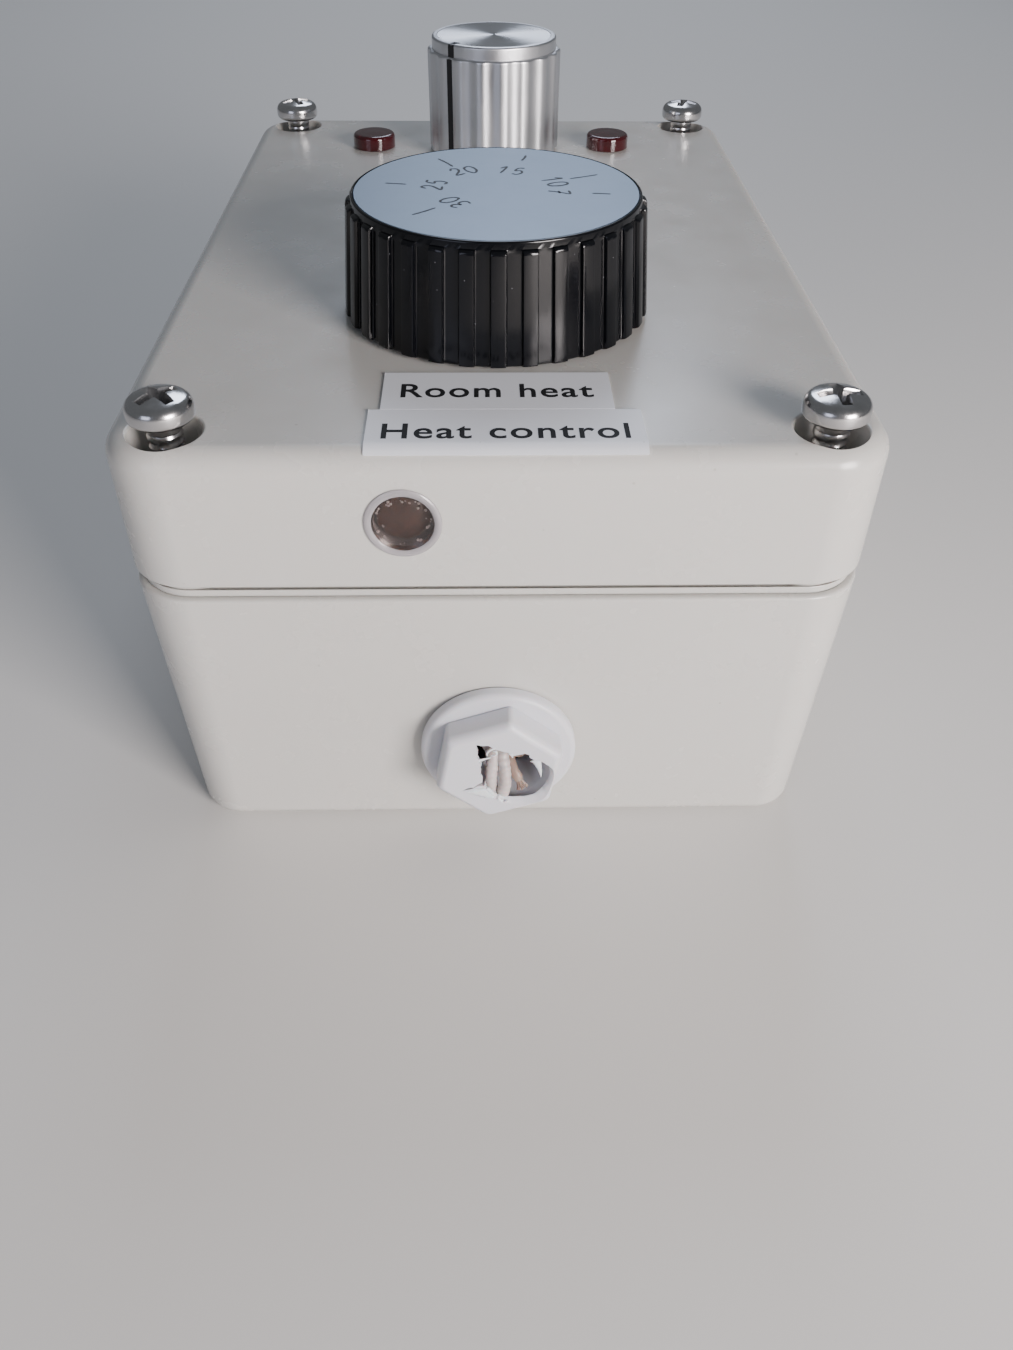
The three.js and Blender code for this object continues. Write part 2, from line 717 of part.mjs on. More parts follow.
// ---------- indicator lamps ----------
function addLamp(side, x) {
  const group = groupAt(x, lampY, boxHeight);
  const lens = cut(
    turned([
      [0, -lampStemDepth],
      [lampStemRadius, -lampStemDepth],
      [lampStemRadius, contactGap],
      [lampRadius, contactGap],
      [lampRadius, lampRim],
      [lampRadius * 0.95, lampRim + lampDome * 0.5],
      [lampRadius * 0.84, lampRim + lampDome * 0.9],
      [0, lampRim + lampDome],
    ], 16),
    disc(lampBoreRadius, -lampStemDepth - 1, 1, 12),
  );
  const ledBottom = -lampStemDepth - 0.6;
  const legs = [-1.27, 1.27].map((offset) => (
    blockAt(offset, 0, 0.5, 0.5, -boardDrop + partGap, ledBottom + 0.5)
  ));
  const led = join(
    disc(ledFlangeRadius, ledBottom, ledBottom + 0.8, 10),
    turned([
      [0, ledBottom],
      [ledRadius, ledBottom],
      [ledRadius, ledBottom + ledHeight - 1],
      [ledRadius * 0.7, ledBottom + ledHeight - 0.3],
      [0, ledBottom + ledHeight],
    ], 10),
    ...legs,
  );
  add(`lamp_lens_${side}`, lens, redLens, group);
  add(`led_${side}`, led, redLens, group);
}

addLamp('left', -lampX);
addLamp('right', lampX);

// ---------- label strips ----------
// A strip of tape across the lid. Its front end follows the lid's rounded edge.
function labelStrip(left, right, backInset) {
  const flatEnd = -halfLength + lidEdgeRound;
  const backY = -halfLength + backInset;
  const frontY = backY - labelWidth;
  const topPoints = [[backY, 0]];
  if (frontY >= flatEnd) {
    topPoints.push([frontY, 0]);
  } else {
    const sweep = (flatEnd - frontY) / lidEdgeRound;
    for (let i = 0; i <= 4; i++) topPoints.push([flatEnd, sweep * i / 4]);
  }
  const outline = (offset) => topPoints.map(([y, angle]) => new THREE.Vector2(
    y - (lidEdgeRound + offset) * Math.sin(angle),
    boxHeight - lidEdgeRound + (lidEdgeRound + offset) * Math.cos(angle),
  ));
  const lower = outline(contactGap * 2);
  const upper = outline(contactGap * 2 + labelThickness).reverse();
  const geometry = new THREE.ExtrudeGeometry(new THREE.Shape([...lower, ...upper]), {
    depth: right - left,
    bevelEnabled: false,
  });
  // The outline is drawn as (y, z) and pulled along X.
  const place = new THREE.Matrix4().makeBasis(
    new THREE.Vector3(0, 1, 0),
    new THREE.Vector3(0, 0, 1),
    new THREE.Vector3(1, 0, 0),
  ).setPosition(left, 0, 0);
  return solidOf(geometry.applyMatrix4(place));
}

add('label_upper', labelStrip(upperLabelLeft, upperLabelRight, upperLabelInset), whiteTape);
const lowerLabelInset = upperLabelInset - labelWidth - labelSpacing;
add('label_lower', labelStrip(lowerLabelLeft, lowerLabelRight, lowerLabelInset), whiteTape);

// ---------- temperature sensor ----------
// Pieces turned about Z are laid down so that their +Z points out of the end wall.
function outOfEndWall(solid, x, y, z) {
  return solid.rotate([90, 0, 0]).translate([x, y, z]);
}

function addSensor() {
  const wallY = -halfLength;
  const barrelEnd = -wallThickness - sensorTail;
  const ring = cut(
    join(
      disc(sensorRingRadius, contactGap, sensorRingProud, 28),
      disc(sensorBarrelRadius, barrelEnd, sensorRingProud, 28),
    ),
    disc(sensorBoreRadius, barrelEnd - 1, sensorRingProud + 1, 28),
  );
  add('sensor_ring', outOfEndWall(ring, sensorX, wallY, sensorZ), clearPlastic);
  const windowFront = sensorRingProud - windowSetback;
  const windowBack = windowFront - windowThickness;
  const window = disc(sensorBoreRadius - 0.05, windowBack, windowFront, 28);
  add('sensor_window', outOfEndWall(window, sensorX, wallY, sensorZ), clearPlastic);
  const beadFront = windowBack - contactGap;
  const beadBackY = wallY - beadFront + beadThickness;
  const bead = outOfEndWall(
    disc(sensorBoreRadius - 0.2, beadFront - beadThickness, beadFront, 24), sensorX, wallY, sensorZ,
  );
  const leads = [-1.27, 1.27].map((offset) => wire([
    [sensorX + offset, beadBackY - 0.5, sensorZ],
    [sensorX + offset, beadBackY + 3, sensorZ - 0.3],
    [sensorX + offset, boardFrontY + 1.5, sensorZ - 2.5],
    [sensorX + offset, boardFrontY + 3, boardTop + partGap],
  ], 0.35, 6, 6));
  add('sensor_bead', join(bead, ...leads), beadBrown);
}

addSensor();

// ---------- cable gland ----------
function addGland() {
  const place = (solid) => outOfEndWall(solid, glandX, glandWallY, glandZ);
  const flangeFront = contactGap + glandFlangeThickness;
  const body = cut(
    join(
      turned([
        [0, contactGap],
        [glandFlangeRadius, contactGap],
        [glandFlangeRadius, flangeFront - glandFlangeRound],
        [glandFlangeRadius - glandFlangeRound * 0.3, flangeFront - glandFlangeRound * 0.3],
        [glandFlangeRadius - glandFlangeRound, flangeFront],
        [0, flangeFront],
      ], 32),
      disc(glandSpigotRadius, -glandSpigotLength, contactGap + 0.5, 20),
      disc(glandCollarRadius, flangeFront - 0.5, flangeFront + glandCollarLength, 20),
    ),
    disc(glandBoreRadius, -glandSpigotLength - 1, flangeFront + glandCollarLength + 1, 20),
    disc(glandCollarRadius - glandCollarWall, flangeFront, flangeFront + glandCollarLength + 1, 28),
  );
  add('gland_body', place(body), glandPlastic);

  const capBack = flangeFront + contactGap;
  const capFront = capBack + capLength;
  const turn = THREE.MathUtils.degToRad(90 + capTwist);
  const cornerCut = 0.06;       // share of a side that each softened corner takes
  const capRing = (inset, z) => {
    const points = [];
    for (let k = 0; k < 6; k++) {
      for (const step of [-cornerCut, 0, cornerCut]) {
        const angle = turn + k * Math.PI / 3 + step * Math.PI / 3;
        const flat = (capCornerRadius - inset) * Math.cos(Math.PI / 6);
        const toFlat = Math.cos(Math.PI / 6 - Math.abs(step) * Math.PI / 3);
        const radius = step === 0 ? (flat / toFlat) * 0.985 : flat / toFlat;
        points.push([radius * Math.cos(angle), radius * Math.sin(angle), z]);
      }
    }
    return points;
  };
  const blank = loft([
    capRing(0, capBack),
    capRing(0, capFront - capRound),
    capRing(capRound * 0.3, capFront - capRound * 0.3),
    capRing(capRound, capFront),
  ]);
  const collarRoom = disc(
    glandCollarRadius + capClearance, capBack - 1, flangeFront + glandCollarLength + capClearance, 28,
  );
  const hollow = disc(capHollowRadius, capBack - 1, capFront - capFrontWall, 28);
  // The front wall is broken through: the hole's outline as [x, z] about the axis.
  const breach = [
    [-2.68, 5.0], [-1.3, 4.85], [-0.45, 4.25], [1.2, 3.55], [1.6, 3.0], [2.5, 3.35], [3.5, 3.35],
    [3.9, 2.6], [5.1, 2.1], [5.8, 1.4], [6.4, 0.4], [6.6, -0.6], [6.6, -1.7], [6.3, -2.9],
    [5.7, -3.9], [4.6, -4.75], [2.9, -5.1], [1.2, -4.9], [0.4, -4.7], [-0.1, -4.3], [-0.7, -3.9],
    [-1.3, -2.7], [-1.4, -1.8], [-1.8, -1.6], [-2.1, 0.9], [-2.35, 2.1], [-2.6, 2.9],
  ];
  const breachShape = new THREE.Shape(breach.map(([x, y]) => new THREE.Vector2(x, y)));
  const breachHole = solidOf(
    new THREE.ExtrudeGeometry(breachShape, { depth: capLength, bevelEnabled: false })
      .translate(0, 0, capFront - capBreachDepth),
  );
  add('gland_cap', place(cut(blank, collarRoom, hollow, breachHole)), glandPlastic);

  const innerWallY = -halfLength + wallThickness + baseLean;
  const nutFront = -(innerWallY - glandWallY) - contactGap;
  const locknut = cut(
    hexagon(locknutCornerRadius, nutFront - locknutThickness, nutFront),
    disc(glandSpigotRadius + 0.1, nutFront - locknutThickness - 1, nutFront + 1, 28),
  );
  add('gland_locknut', place(locknut), glandPlastic);
  const seal = cut(
    disc(sealOuterRadius, -sealLength - 1, -1, 20),
    disc(sealInnerRadius, -sealLength - 2, 0, 20),
  );
  add('gland_seal', place(seal), rubber);
}

addGland();

// ---------- wire cores ----------
// From the gland's mouth, through its seal, to the terminal block under the board.
const terminalZ = boardBottom - partGap - terminalHeight;
const entryZ = terminalZ + 3.2;

const coreSpread = sealInnerRadius - coreRadius - coreSealGap;

function coreRoute(offset, mouthPoints, entryIndex) {
  const inside = glandWallY + glandSpigotLength;
  const entryX = entryIndex * terminalPitch;
  return [
    ...mouthPoints,
    [glandX + offset, glandWallY + 1, glandZ + 0.1],
    [glandX + offset, inside - 3, glandZ],
    [glandX + offset * 1.4, inside + 4, glandZ - 1],
    [entryX * 0.8, terminalY - 6, glandZ + 2],
    [entryX, terminalY - 4.5, entryZ - 3.5],
    [entryX, terminalY - 2.2, entryZ],
    [entryX, terminalY + 1.5, entryZ],
  ];
}

const coreRoutes = {
  wire_core_left: coreRoute(-coreSpread, [
    [glandX - 0.4, glandWallY - 3.9, glandZ - 4.9],
    [glandX - 0.78, glandWallY - 3.9, glandZ - 3.1],
    [glandX - 0.82, glandWallY - 3.3, glandZ - 1.6],
    [glandX - 1.0, glandWallY - 1.6, glandZ - 0.5],
  ], -1),
  wire_core_middle: coreRoute(0, [
    [glandX + 1.2, glandWallY - 3.9, glandZ - 4.9],
    [glandX + 0.8, glandWallY - 3.9, glandZ - 3.1],
    [glandX + 0.76, glandWallY - 3.3, glandZ - 1.6],
    [glandX + 0.56, glandWallY - 1.6, glandZ - 0.5],
  ], 0),
  wire_core_right: coreRoute(coreSpread, [
    [glandX + 3.3, glandWallY - 3.9, glandZ - 3.7],
    [glandX + 2.8, glandWallY - 3.1, glandZ - 2.3],
    [glandX + 2.4, glandWallY - 1.9, glandZ - 0.9],
  ], 1),
};

for (const [name, route] of Object.entries(coreRoutes)) {
  add(name, wire(route, coreRadius, coreSides, 20), wirePlastic);
}

// ---------- circuit board and the parts on it ----------
add('circuit_board', block(-boardHalfWidth, boardHalfWidth, boardFrontY, boardBackY, boardBottom, boardTop),
  boardLaminate);

const underBoard = boardBottom - partGap;

// The parts are laid out about the board's middle.
function fromMiddle(offset) {
  return boardMiddleY + offset;
}

function addTerminalBlock() {
  const width = 3 * terminalPitch;
  const top = underBoard;
  const bottom = terminalZ;
  const places = [-1, 0, 1].map((k) => k * terminalPitch);
  const entries = places.map((x) => blockAt(x, terminalY + 2, 3, 6, entryZ - 1.4, entryZ + 1.4));
  const screwWells = places.map((x) => (
    disc(terminalScrewRadius + 0.15, bottom - 1, bottom + 1.6, 14, x, terminalY + terminalDepth / 2)
  ));
  const housing = cut(
    block(-width / 2, width / 2, terminalY, terminalY + terminalDepth, bottom, top),
    block(-width, width, terminalY - 1, terminalY + 1.4, bottom - 1, bottom + 1.2),
    ...entries,
    ...screwWells,
  );
  add('terminal_block', housing, greenPlastic);
  places.forEach((x, i) => {
    const head = cut(
      disc(terminalScrewRadius, bottom + 0.3, bottom + 1.5, 14, x, terminalY + terminalDepth / 2),
      blockAt(x, terminalY + terminalDepth / 2, 5, 0.6, bottom, bottom + 0.9),
    );
    add(`terminal_screw_${i + 1}`, head, nickel);
  });
}

addTerminalBlock();

function hangingBox(x, y, sizeX, sizeY, height, chamfer = 0.6) {
  const ring = (inset, z) => [[1, 1], [-1, 1], [-1, -1], [1, -1]].map(([sx, sy]) => (
    [x + sx * (sizeX / 2 - inset), y + sy * (sizeY / 2 - inset), z]
  ));
  return loft([
    ring(chamfer, underBoard - height),
    ring(0, underBoard - height + chamfer),
    ring(0, underBoard),
  ]);
}

add('relay', hangingBox(-16, fromMiddle(9), 15.5, 19, 15.5), bluePlastic);
add('trimmer', cut(
  hangingBox(20, fromMiddle(27), 9.5, 9.5, 4.8, 0.3),
  disc(2.2, underBoard - 6, underBoard - 4.2, 16, 20, fromMiddle(27)),
), bluePlastic);

function canCapacitor(x, y, radius, height) {
  return turned([
    [0, underBoard - height],
    [radius * 0.9, underBoard - height],
    [radius, underBoard - height + 0.5],
    [radius, underBoard - 1.6],
    [radius * 0.92, underBoard - 1.2],
    [radius, underBoard - 0.8],
    [radius, underBoard],
    [0, underBoard],
  ], 14).translate([x, y, 0]);
}

add('capacitor_large', canCapacitor(18, fromMiddle(-27), 5, 12.5), blackPlastic);
add('capacitor_small', canCapacitor(24, fromMiddle(-11), 3.2, 7), blackPlastic);

// A dual in-line chip, one row of legs on each long side.
function chip(x, y) {
  const bodyBottom = underBoard - 4.1;
  const legs = [-1.5, -0.5, 0.5, 1.5].flatMap((k) => [-1, 1].map((side) => (
    blockAt(x + side * 3.5, y + k * 2.54, 0.9, 1.2, underBoard - 2.6, underBoard)
  )));
  return join(blockAt(x, y, 6.4, 9.8, bodyBottom, underBoard - 0.6), ...legs);
}

add('comparator_chip', chip(4, fromMiddle(-11)), blackPlastic);

function regulator(x, y) {
  const tab = cut(
    blockAt(x, y + 1.6, 10, 1.2, underBoard - 17, underBoard - 3),
    rod(1.8, y - 2, y + 4, 14, x, underBoard - 14.2),
  );
  const legs = [-1, 0, 1].map((k) => blockAt(x + k * 2.54, y, 0.9, 0.6, underBoard - 4, underBoard));
  return join(tab, blockAt(x, y - 0.6, 10, 4.2, underBoard - 11.5, underBoard - 3), ...legs);
}

add('voltage_regulator', regulator(14, fromMiddle(9)), blackPlastic);

function transistor(x, y) {
  const body = cut(
    disc(2.4, underBoard - 6.2, underBoard - 1.6, 16, x, y),
    blockAt(x, y - 2.6, 6, 2.4, underBoard - 7, underBoard),
  );
  const legs = [-1, 0, 1].map((k) => blockAt(x + k * 1.27, y, 0.5, 0.5, underBoard - 2, underBoard));
  return join(body, ...legs);
}

add('driver_transistor', transistor(-20, fromMiddle(-11)), blackPlastic);

// A part lying along X under the board, held by a bent lead at each end.
function axialPart(x, y, radius, length) {
  const z = underBoard - radius - 0.4;
  const body = solidOf(
    new THREE.CylinderGeometry(radius, radius, length, 12).rotateZ(Math.PI / 2).translate(x, y, z),
  );
  const reach = length / 2 + 2;
  const lead = block(x - reach, x + reach, y - 0.3, y + 0.3, z - 0.3, z + 0.3);
  const ends = [-1, 1].map((side) => blockAt(x + side * (reach - 0.3), y, 0.6, 0.6, z - 0.3, underBoard));
  return join(body, lead, ...ends);
}

const resistorPlaces = [[-20, -21], [-20, -26], [-20, -31], [4, -1]];
resistorPlaces.forEach(([x, y], i) => {
  add(`resistor_${i + 1}`, axialPart(x, fromMiddle(y), 1.2, 6.3), beadBrown);
});
add('flyback_diode', axialPart(-16, fromMiddle(23), 1.4, 5.2), blackPlastic);
add('rectifier_diode', axialPart(0, fromMiddle(27), 1.4, 5.2), blackPlastic);

export default thermostat;
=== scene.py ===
import math
import random

import bmesh
import bpy
from mathutils import Matrix, Vector, noise


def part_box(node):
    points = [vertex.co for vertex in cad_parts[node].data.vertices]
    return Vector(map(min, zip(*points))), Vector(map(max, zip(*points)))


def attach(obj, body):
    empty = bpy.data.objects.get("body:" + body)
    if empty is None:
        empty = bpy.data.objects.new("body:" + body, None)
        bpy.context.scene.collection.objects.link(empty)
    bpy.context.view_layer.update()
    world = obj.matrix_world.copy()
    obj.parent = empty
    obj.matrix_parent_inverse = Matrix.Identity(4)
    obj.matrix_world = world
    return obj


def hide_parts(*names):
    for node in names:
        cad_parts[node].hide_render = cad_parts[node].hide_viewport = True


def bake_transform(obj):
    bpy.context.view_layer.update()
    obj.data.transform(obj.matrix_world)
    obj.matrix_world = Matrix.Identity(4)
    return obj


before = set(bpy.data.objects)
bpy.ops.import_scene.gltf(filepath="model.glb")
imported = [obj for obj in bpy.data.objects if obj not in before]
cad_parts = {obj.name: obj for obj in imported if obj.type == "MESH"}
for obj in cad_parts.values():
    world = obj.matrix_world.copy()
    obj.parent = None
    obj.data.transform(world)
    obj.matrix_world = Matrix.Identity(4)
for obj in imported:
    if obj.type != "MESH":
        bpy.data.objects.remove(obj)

for name in ("Cube", "Light", "Camera"):        # the default scene's own objects
    if name in bpy.data.objects:
        bpy.data.objects.remove(bpy.data.objects[name])
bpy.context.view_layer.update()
mm = 0.001
random.seed(7)


# small tools

def hexColour(code):
    channels = [int(code[i:i + 2], 16) / 255 for i in (1, 3, 5)]
    linear = [c / 12.92 if c <= 0.04045 else ((c + 0.055) / 1.055) ** 2.4 for c in channels]
    return (*linear, 1.0)


def boxOf(node):        # lowest and highest corner of a CAD node, in mm
    low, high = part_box(node)
    return Vector(low) / mm, Vector(high) / mm


def centreOf(node):
    low, high = boxOf(node)
    return (low + high) / 2


def newPiece(name, points, faces):        # points in mm
    mesh = bpy.data.meshes.new(name)
    mesh.from_pydata([Vector(p) * mm for p in points], [], faces)
    piece = bpy.data.objects.new(name, mesh)
    bpy.context.scene.collection.objects.link(piece)
    return piece


def reshape(piece, work):        # runs a bmesh job on a piece
    shape = bmesh.new()
    shape.from_mesh(piece.data)
    work(shape)
    shape.to_mesh(piece.data)
    shape.free()


def facesOut(shape):
    bmesh.ops.remove_doubles(shape, verts=shape.verts, dist=1e-7)
    bmesh.ops.recalc_face_normals(shape, faces=shape.faces)


def bakeModifiers(piece):
    graph = bpy.context.evaluated_depsgraph_get()
    mesh = bpy.data.meshes.new_from_object(piece.evaluated_get(graph))
    piece.modifiers.clear()
    old = piece.data
    piece.data = mesh
    mesh.name = piece.name
    bpy.data.meshes.remove(old)


def combine(piece, tools, how):        # how is DIFFERENCE or UNION
    for tool in tools:
        change = piece.modifiers.new("combine", "BOOLEAN")
        change.operation = how
        change.solver = "EXACT"
        change.object = tool
    bakeModifiers(piece)
    for tool in tools:
        bpy.data.objects.remove(tool)
    return piece


def polish(piece, angle=35):        # smooth faces, with sharp edges past the angle
    piece.data.shade_smooth()
    piece.data.set_sharp_from_angle(angle=math.radians(angle))
    even = piece.modifiers.new("even", "WEIGHTED_NORMAL")
    even.keep_sharp = True
    even.weight = 80
    bakeModifiers(piece)
    return piece


def settle(piece, body, slot, material, *nodes):
    piece.data.materials.clear()
    piece.data.materials.append(material)
    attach(piece, body)
    if nodes:
        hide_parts(*nodes)
    return piece


def loft(name, rings):        # skins equal rings and closes both ends
    count = len(rings[0])
    faces = []
    for level in range(len(rings) - 1):
        for i in range(count):
            a = level * count + i
            b = level * count + (i + 1) % count
            faces.append((a, b, b + count, a + count))
    faces.append(tuple(reversed(range(count))))
    last = (len(rings) - 1) * count
    faces.append(tuple(last + i for i in range(count)))
    piece = newPiece(name, [p for ring in rings for p in ring], faces)
    reshape(piece, facesOut)
    return piece


def roundRing(radius, z, steps, turn=0.0):
    ring = []
    for i in range(steps):
        angle = turn + 2 * math.pi * i / steps
        reach = radius(i) if callable(radius) else radius
        ring.append((reach * math.cos(angle), reach * math.sin(angle), z))
    return ring


def spin(name, profile, steps=64):        # turned piece about Z from (radius, z) points
    points, faces, rows = [], [], []
    for radius, z in profile:
        if radius < 1e-6:
            rows.append([len(points)] * steps)
            points.append((0, 0, z))
        else:
            rows.append(list(range(len(points), len(points) + steps)))
            points.extend(roundRing(radius, z, steps))
    for low, high in zip(rows, rows[1:]):
        for i in range(steps):
            j = (i + 1) % steps
            corners = [low[i], low[j], high[j], high[i]]
            face = tuple(dict.fromkeys(corners))
            if len(face) > 2:
                faces.append(face)
    piece = newPiece(name, points, faces)
    reshape(piece, facesOut)
    return piece


def arc(centreR, centreZ, radius, start, end, steps=6):        # degrees, as (r, z) points
    angles = [math.radians(start + (end - start) * i / steps) for i in range(steps + 1)]
    return [(centreR + radius * math.cos(a), centreZ + radius * math.sin(a)) for a in angles]


def moveBy(piece, x, y, z):
    piece.data.transform(Matrix.Translation(Vector((x, y, z)) * mm))
    return piece


def layOut(piece, x, y, z):        # a piece turned about Z points out of the end wall instead
    piece.data.transform(Matrix.Rotation(math.pi / 2, 4, "X"))
    return moveBy(piece, x, y, z)


def block(name, low, high, bevel=0.0, segments=3):
    x0, y0, z0 = low
    x1, y1, z1 = high
    points = [(x, y, z) for z in (z0, z1) for x, y in ((x0, y0), (x1, y0), (x1, y1), (x0, y1))]
    faces = [(3, 2, 1, 0), (4, 5, 6, 7)]
    faces += [(i, (i + 1) % 4, (i + 1) % 4 + 4, i + 4) for i in range(4)]
    piece = newPiece(name, points, faces)
    if bevel:
        soften(piece, bevel, segments)
    return piece


def soften(piece, width, segments=3, angle=30):
    edge = piece.modifiers.new("edge", "BEVEL")
    edge.width = width * mm
    edge.segments = segments
    edge.limit_method = "ANGLE"
    edge.angle_limit = math.radians(angle)
    bakeModifiers(piece)
    return piece


def joinPieces(name, parts):        # several shapes in one mesh
    shape = bmesh.new()
    for part in parts:
        shape.from_mesh(part.data)
        bpy.data.objects.remove(part)
    mesh = bpy.data.meshes.new(name)
    shape.to_mesh(mesh)
    shape.free()
    piece = bpy.data.objects.new(name, mesh)
    bpy.context.scene.collection.objects.link(piece)
    return piece


def smoothRoute(points, perSpan=8):        # Catmull-Rom through the given points
    knots = [Vector(p) for p in points]
    knots = [knots[0] * 2 - knots[1], *knots, knots[-1] * 2 - knots[-2]]
    route = []
    for i in range(1, len(knots) - 2):
        a, b, c, d = knots[i - 1:i + 3]
        for k in range(perSpan):
            t = k / perSpan
            route.append(0.5 * (2 * b + (c - a) * t + (2 * a - 5 * b + 4 * c - d) * t * t
                                + (3 * b - a - 3 * c + d) * t ** 3))
    route.append(knots[-2])
    return route


def tube(name, route, radius, sides=16, taper=None):        # closed tube along a route, in mm
    rings = []
    side = None
    for i, point in enumerate(route):
        ahead = (route[min(i + 1, len(route) - 1)] - route[max(i - 1, 0)]).normalized()
        if side is None:
            side = ahead.orthogonal().normalized()
        side = (side - ahead * side.dot(ahead)).normalized()
        up = ahead.cross(side)
        reach = radius * (taper(i / (len(route) - 1)) if taper else 1)
        ring = []
        for k in range(sides):
            angle = 2 * math.pi * k / sides
            ring.append(point + (side * math.cos(angle) + up * math.sin(angle)) * reach)
        rings.append(ring)
    return loft(name, rings)


# materials

def addNode(material, kind, settings=None, links=None):        # keys are input names, numbers or properties
    node = material.node_tree.nodes.new(kind)
    for key, value in (settings or {}).items():
        if isinstance(key, int) or key in node.inputs:
            node.inputs[key].default_value = value
        else:
            setattr(node, key, value)
    for key, source in (links or {}).items():
        material.node_tree.links.new(source, node.inputs[key])
    return node


def startMaterial(name, colour, roughness, settings=None):        # returns material, shader, place in mm
    material = bpy.data.materials.new(name)
    material.use_nodes = True
    shader = material.node_tree.nodes["Principled BSDF"]
    shader.inputs["Base Color"].default_value = hexColour(colour)
    shader.inputs["Roughness"].default_value = roughness
    for key, value in (settings or {}).items():
        shader.inputs[key].default_value = value
    where = addNode(material, "ShaderNodeTexCoord")
    place = addNode(material, "ShaderNodeVectorMath", {"operation": "MULTIPLY", 1: (1000, 1000, 1000)},
                    {0: where.outputs["Object"]})
    return material, shader, place.outputs[0]


def connect(material, source, target):
    material.node_tree.links.new(source, target)


def tint(material, shader, factor, dark, light):        # colour runs from dark to light with the factor
    blend = addNode(material, "ShaderNodeMix", {"data_type": "RGBA", 6: hexColour(dark), 7: hexColour(light)},
                    {0: factor})
    connect(material, blend.outputs[2], shader.inputs["Base Color"])
    return blend.outputs[2]


def polymer(name, looks):        # moulded plastic: even tone, soft gloss, faint flow marks, a little dust
    material, shader, place = startMaterial(name, looks["colour"], looks["roughness"], {
        "IOR": looks.get("ior", 1.53), "Subsurface Weight": looks.get("depth", 0.0),
        "Specular IOR Level": looks.get("specular", 0.5),
        "Subsurface Scale": 0.0008, "Coat Weight": looks.get("coat", 0.0), "Coat Roughness": 0.08,
    })
    tone = addNode(material, "ShaderNodeTexNoise", {"Scale": 1 / 35, "Detail": 3.0}, {"Vector": place})
    colour = tint(material, shader, tone.outputs["Fac"], looks["shade"], looks["colour"])
    specks = addNode(material, "ShaderNodeTexVoronoi",
                     {"Scale": 1 / looks["speckSpacing"], "Randomness": 1.0}, {"Vector": place})
    speck = addNode(material, "ShaderNodeMapRange",
                    {"From Min": looks["speckSize"], "From Max": looks["speckSize"] * 0.5},
                    {"Value": specks.outputs["Distance"]})
    share = addNode(material, "ShaderNodeMath", {"operation": "MULTIPLY", 1: looks["speckShare"]},
                    {0: speck.outputs[0]})
    dusty = addNode(material, "ShaderNodeMix", {"data_type": "RGBA", 7: hexColour(looks["speckColour"])},
                    {0: share.outputs[0], 6: colour})
    connect(material, dusty.outputs[2], shader.inputs["Base Color"])
    cloud = addNode(material, "ShaderNodeTexNoise", {"Scale": 1 / 9, "Detail": 4.0, "Roughness": 0.6},
                    {"Vector": place})
    gloss = addNode(material, "ShaderNodeMapRange",
                    {"From Min": 0.3, "From Max": 0.75, "To Min": looks["roughness"] - 0.05,
                     "To Max": looks["roughness"] + 0.07}, {"Value": cloud.outputs["Fac"]})
    connect(material, gloss.outputs[0], shader.inputs["Roughness"])
    skin = addNode(material, "ShaderNodeTexNoise", {"Scale": 1 / looks["grain"], "Detail": 5.0},
                   {"Vector": place})
    bump = addNode(material, "ShaderNodeBump", {"Strength": looks["bump"], "Distance": 0.00004},
                   {"Height": skin.outputs["Fac"]})
    connect(material, bump.outputs[0], shader.inputs["Normal"])
    return material


def brightMetal(name, looks):        # machined or plated metal with fine lines and faint handling marks
    material, shader, place = startMaterial(name, looks["colour"], looks["roughness"], {
        "Metallic": 1.0, "Anisotropic": looks.get("anisotropic", 0.0),
    })
    if looks.get("turned"):        # lines run round the piece's own axis
        tangent = addNode(material, "ShaderNodeTangent", {"direction_type": "RADIAL", "axis": "Z"})
        connect(material, tangent.outputs[0], shader.inputs["Tangent"])
    marks = addNode(material, "ShaderNodeTexNoise", {"Scale": 1 / looks["markSize"], "Detail": 6.0,
                    "Roughness": 0.65}, {"Vector": place})
    tint(material, shader, marks.outputs["Fac"], looks["shade"], looks["colour"])
    spread = looks.get("spread", 0.25)
    gloss = addNode(material, "ShaderNodeMapRange",
                    {"From Min": 0.3, "From Max": 0.7, "To Min": looks["roughness"] * (1 - spread),
                     "To Max": looks["roughness"] * (1 + spread)}, {"Value": marks.outputs["Fac"]})
    connect(material, gloss.outputs[0], shader.inputs["Roughness"])
    stretch = addNode(material, "ShaderNodeVectorMath", {"operation": "MULTIPLY", 1: looks["lines"]},
                      {0: place})
    lines = addNode(material, "ShaderNodeTexNoise", {"Scale": 1.0, "Detail": 3.0},
                    {"Vector": stretch.outputs[0]})
    bump = addNode(material, "ShaderNodeBump", {"Strength": looks["bump"], "Distance": 0.00002},
                   {"Height": lines.outputs["Fac"]})
    connect(material, bump.outputs[0], shader.inputs["Normal"])
    return material


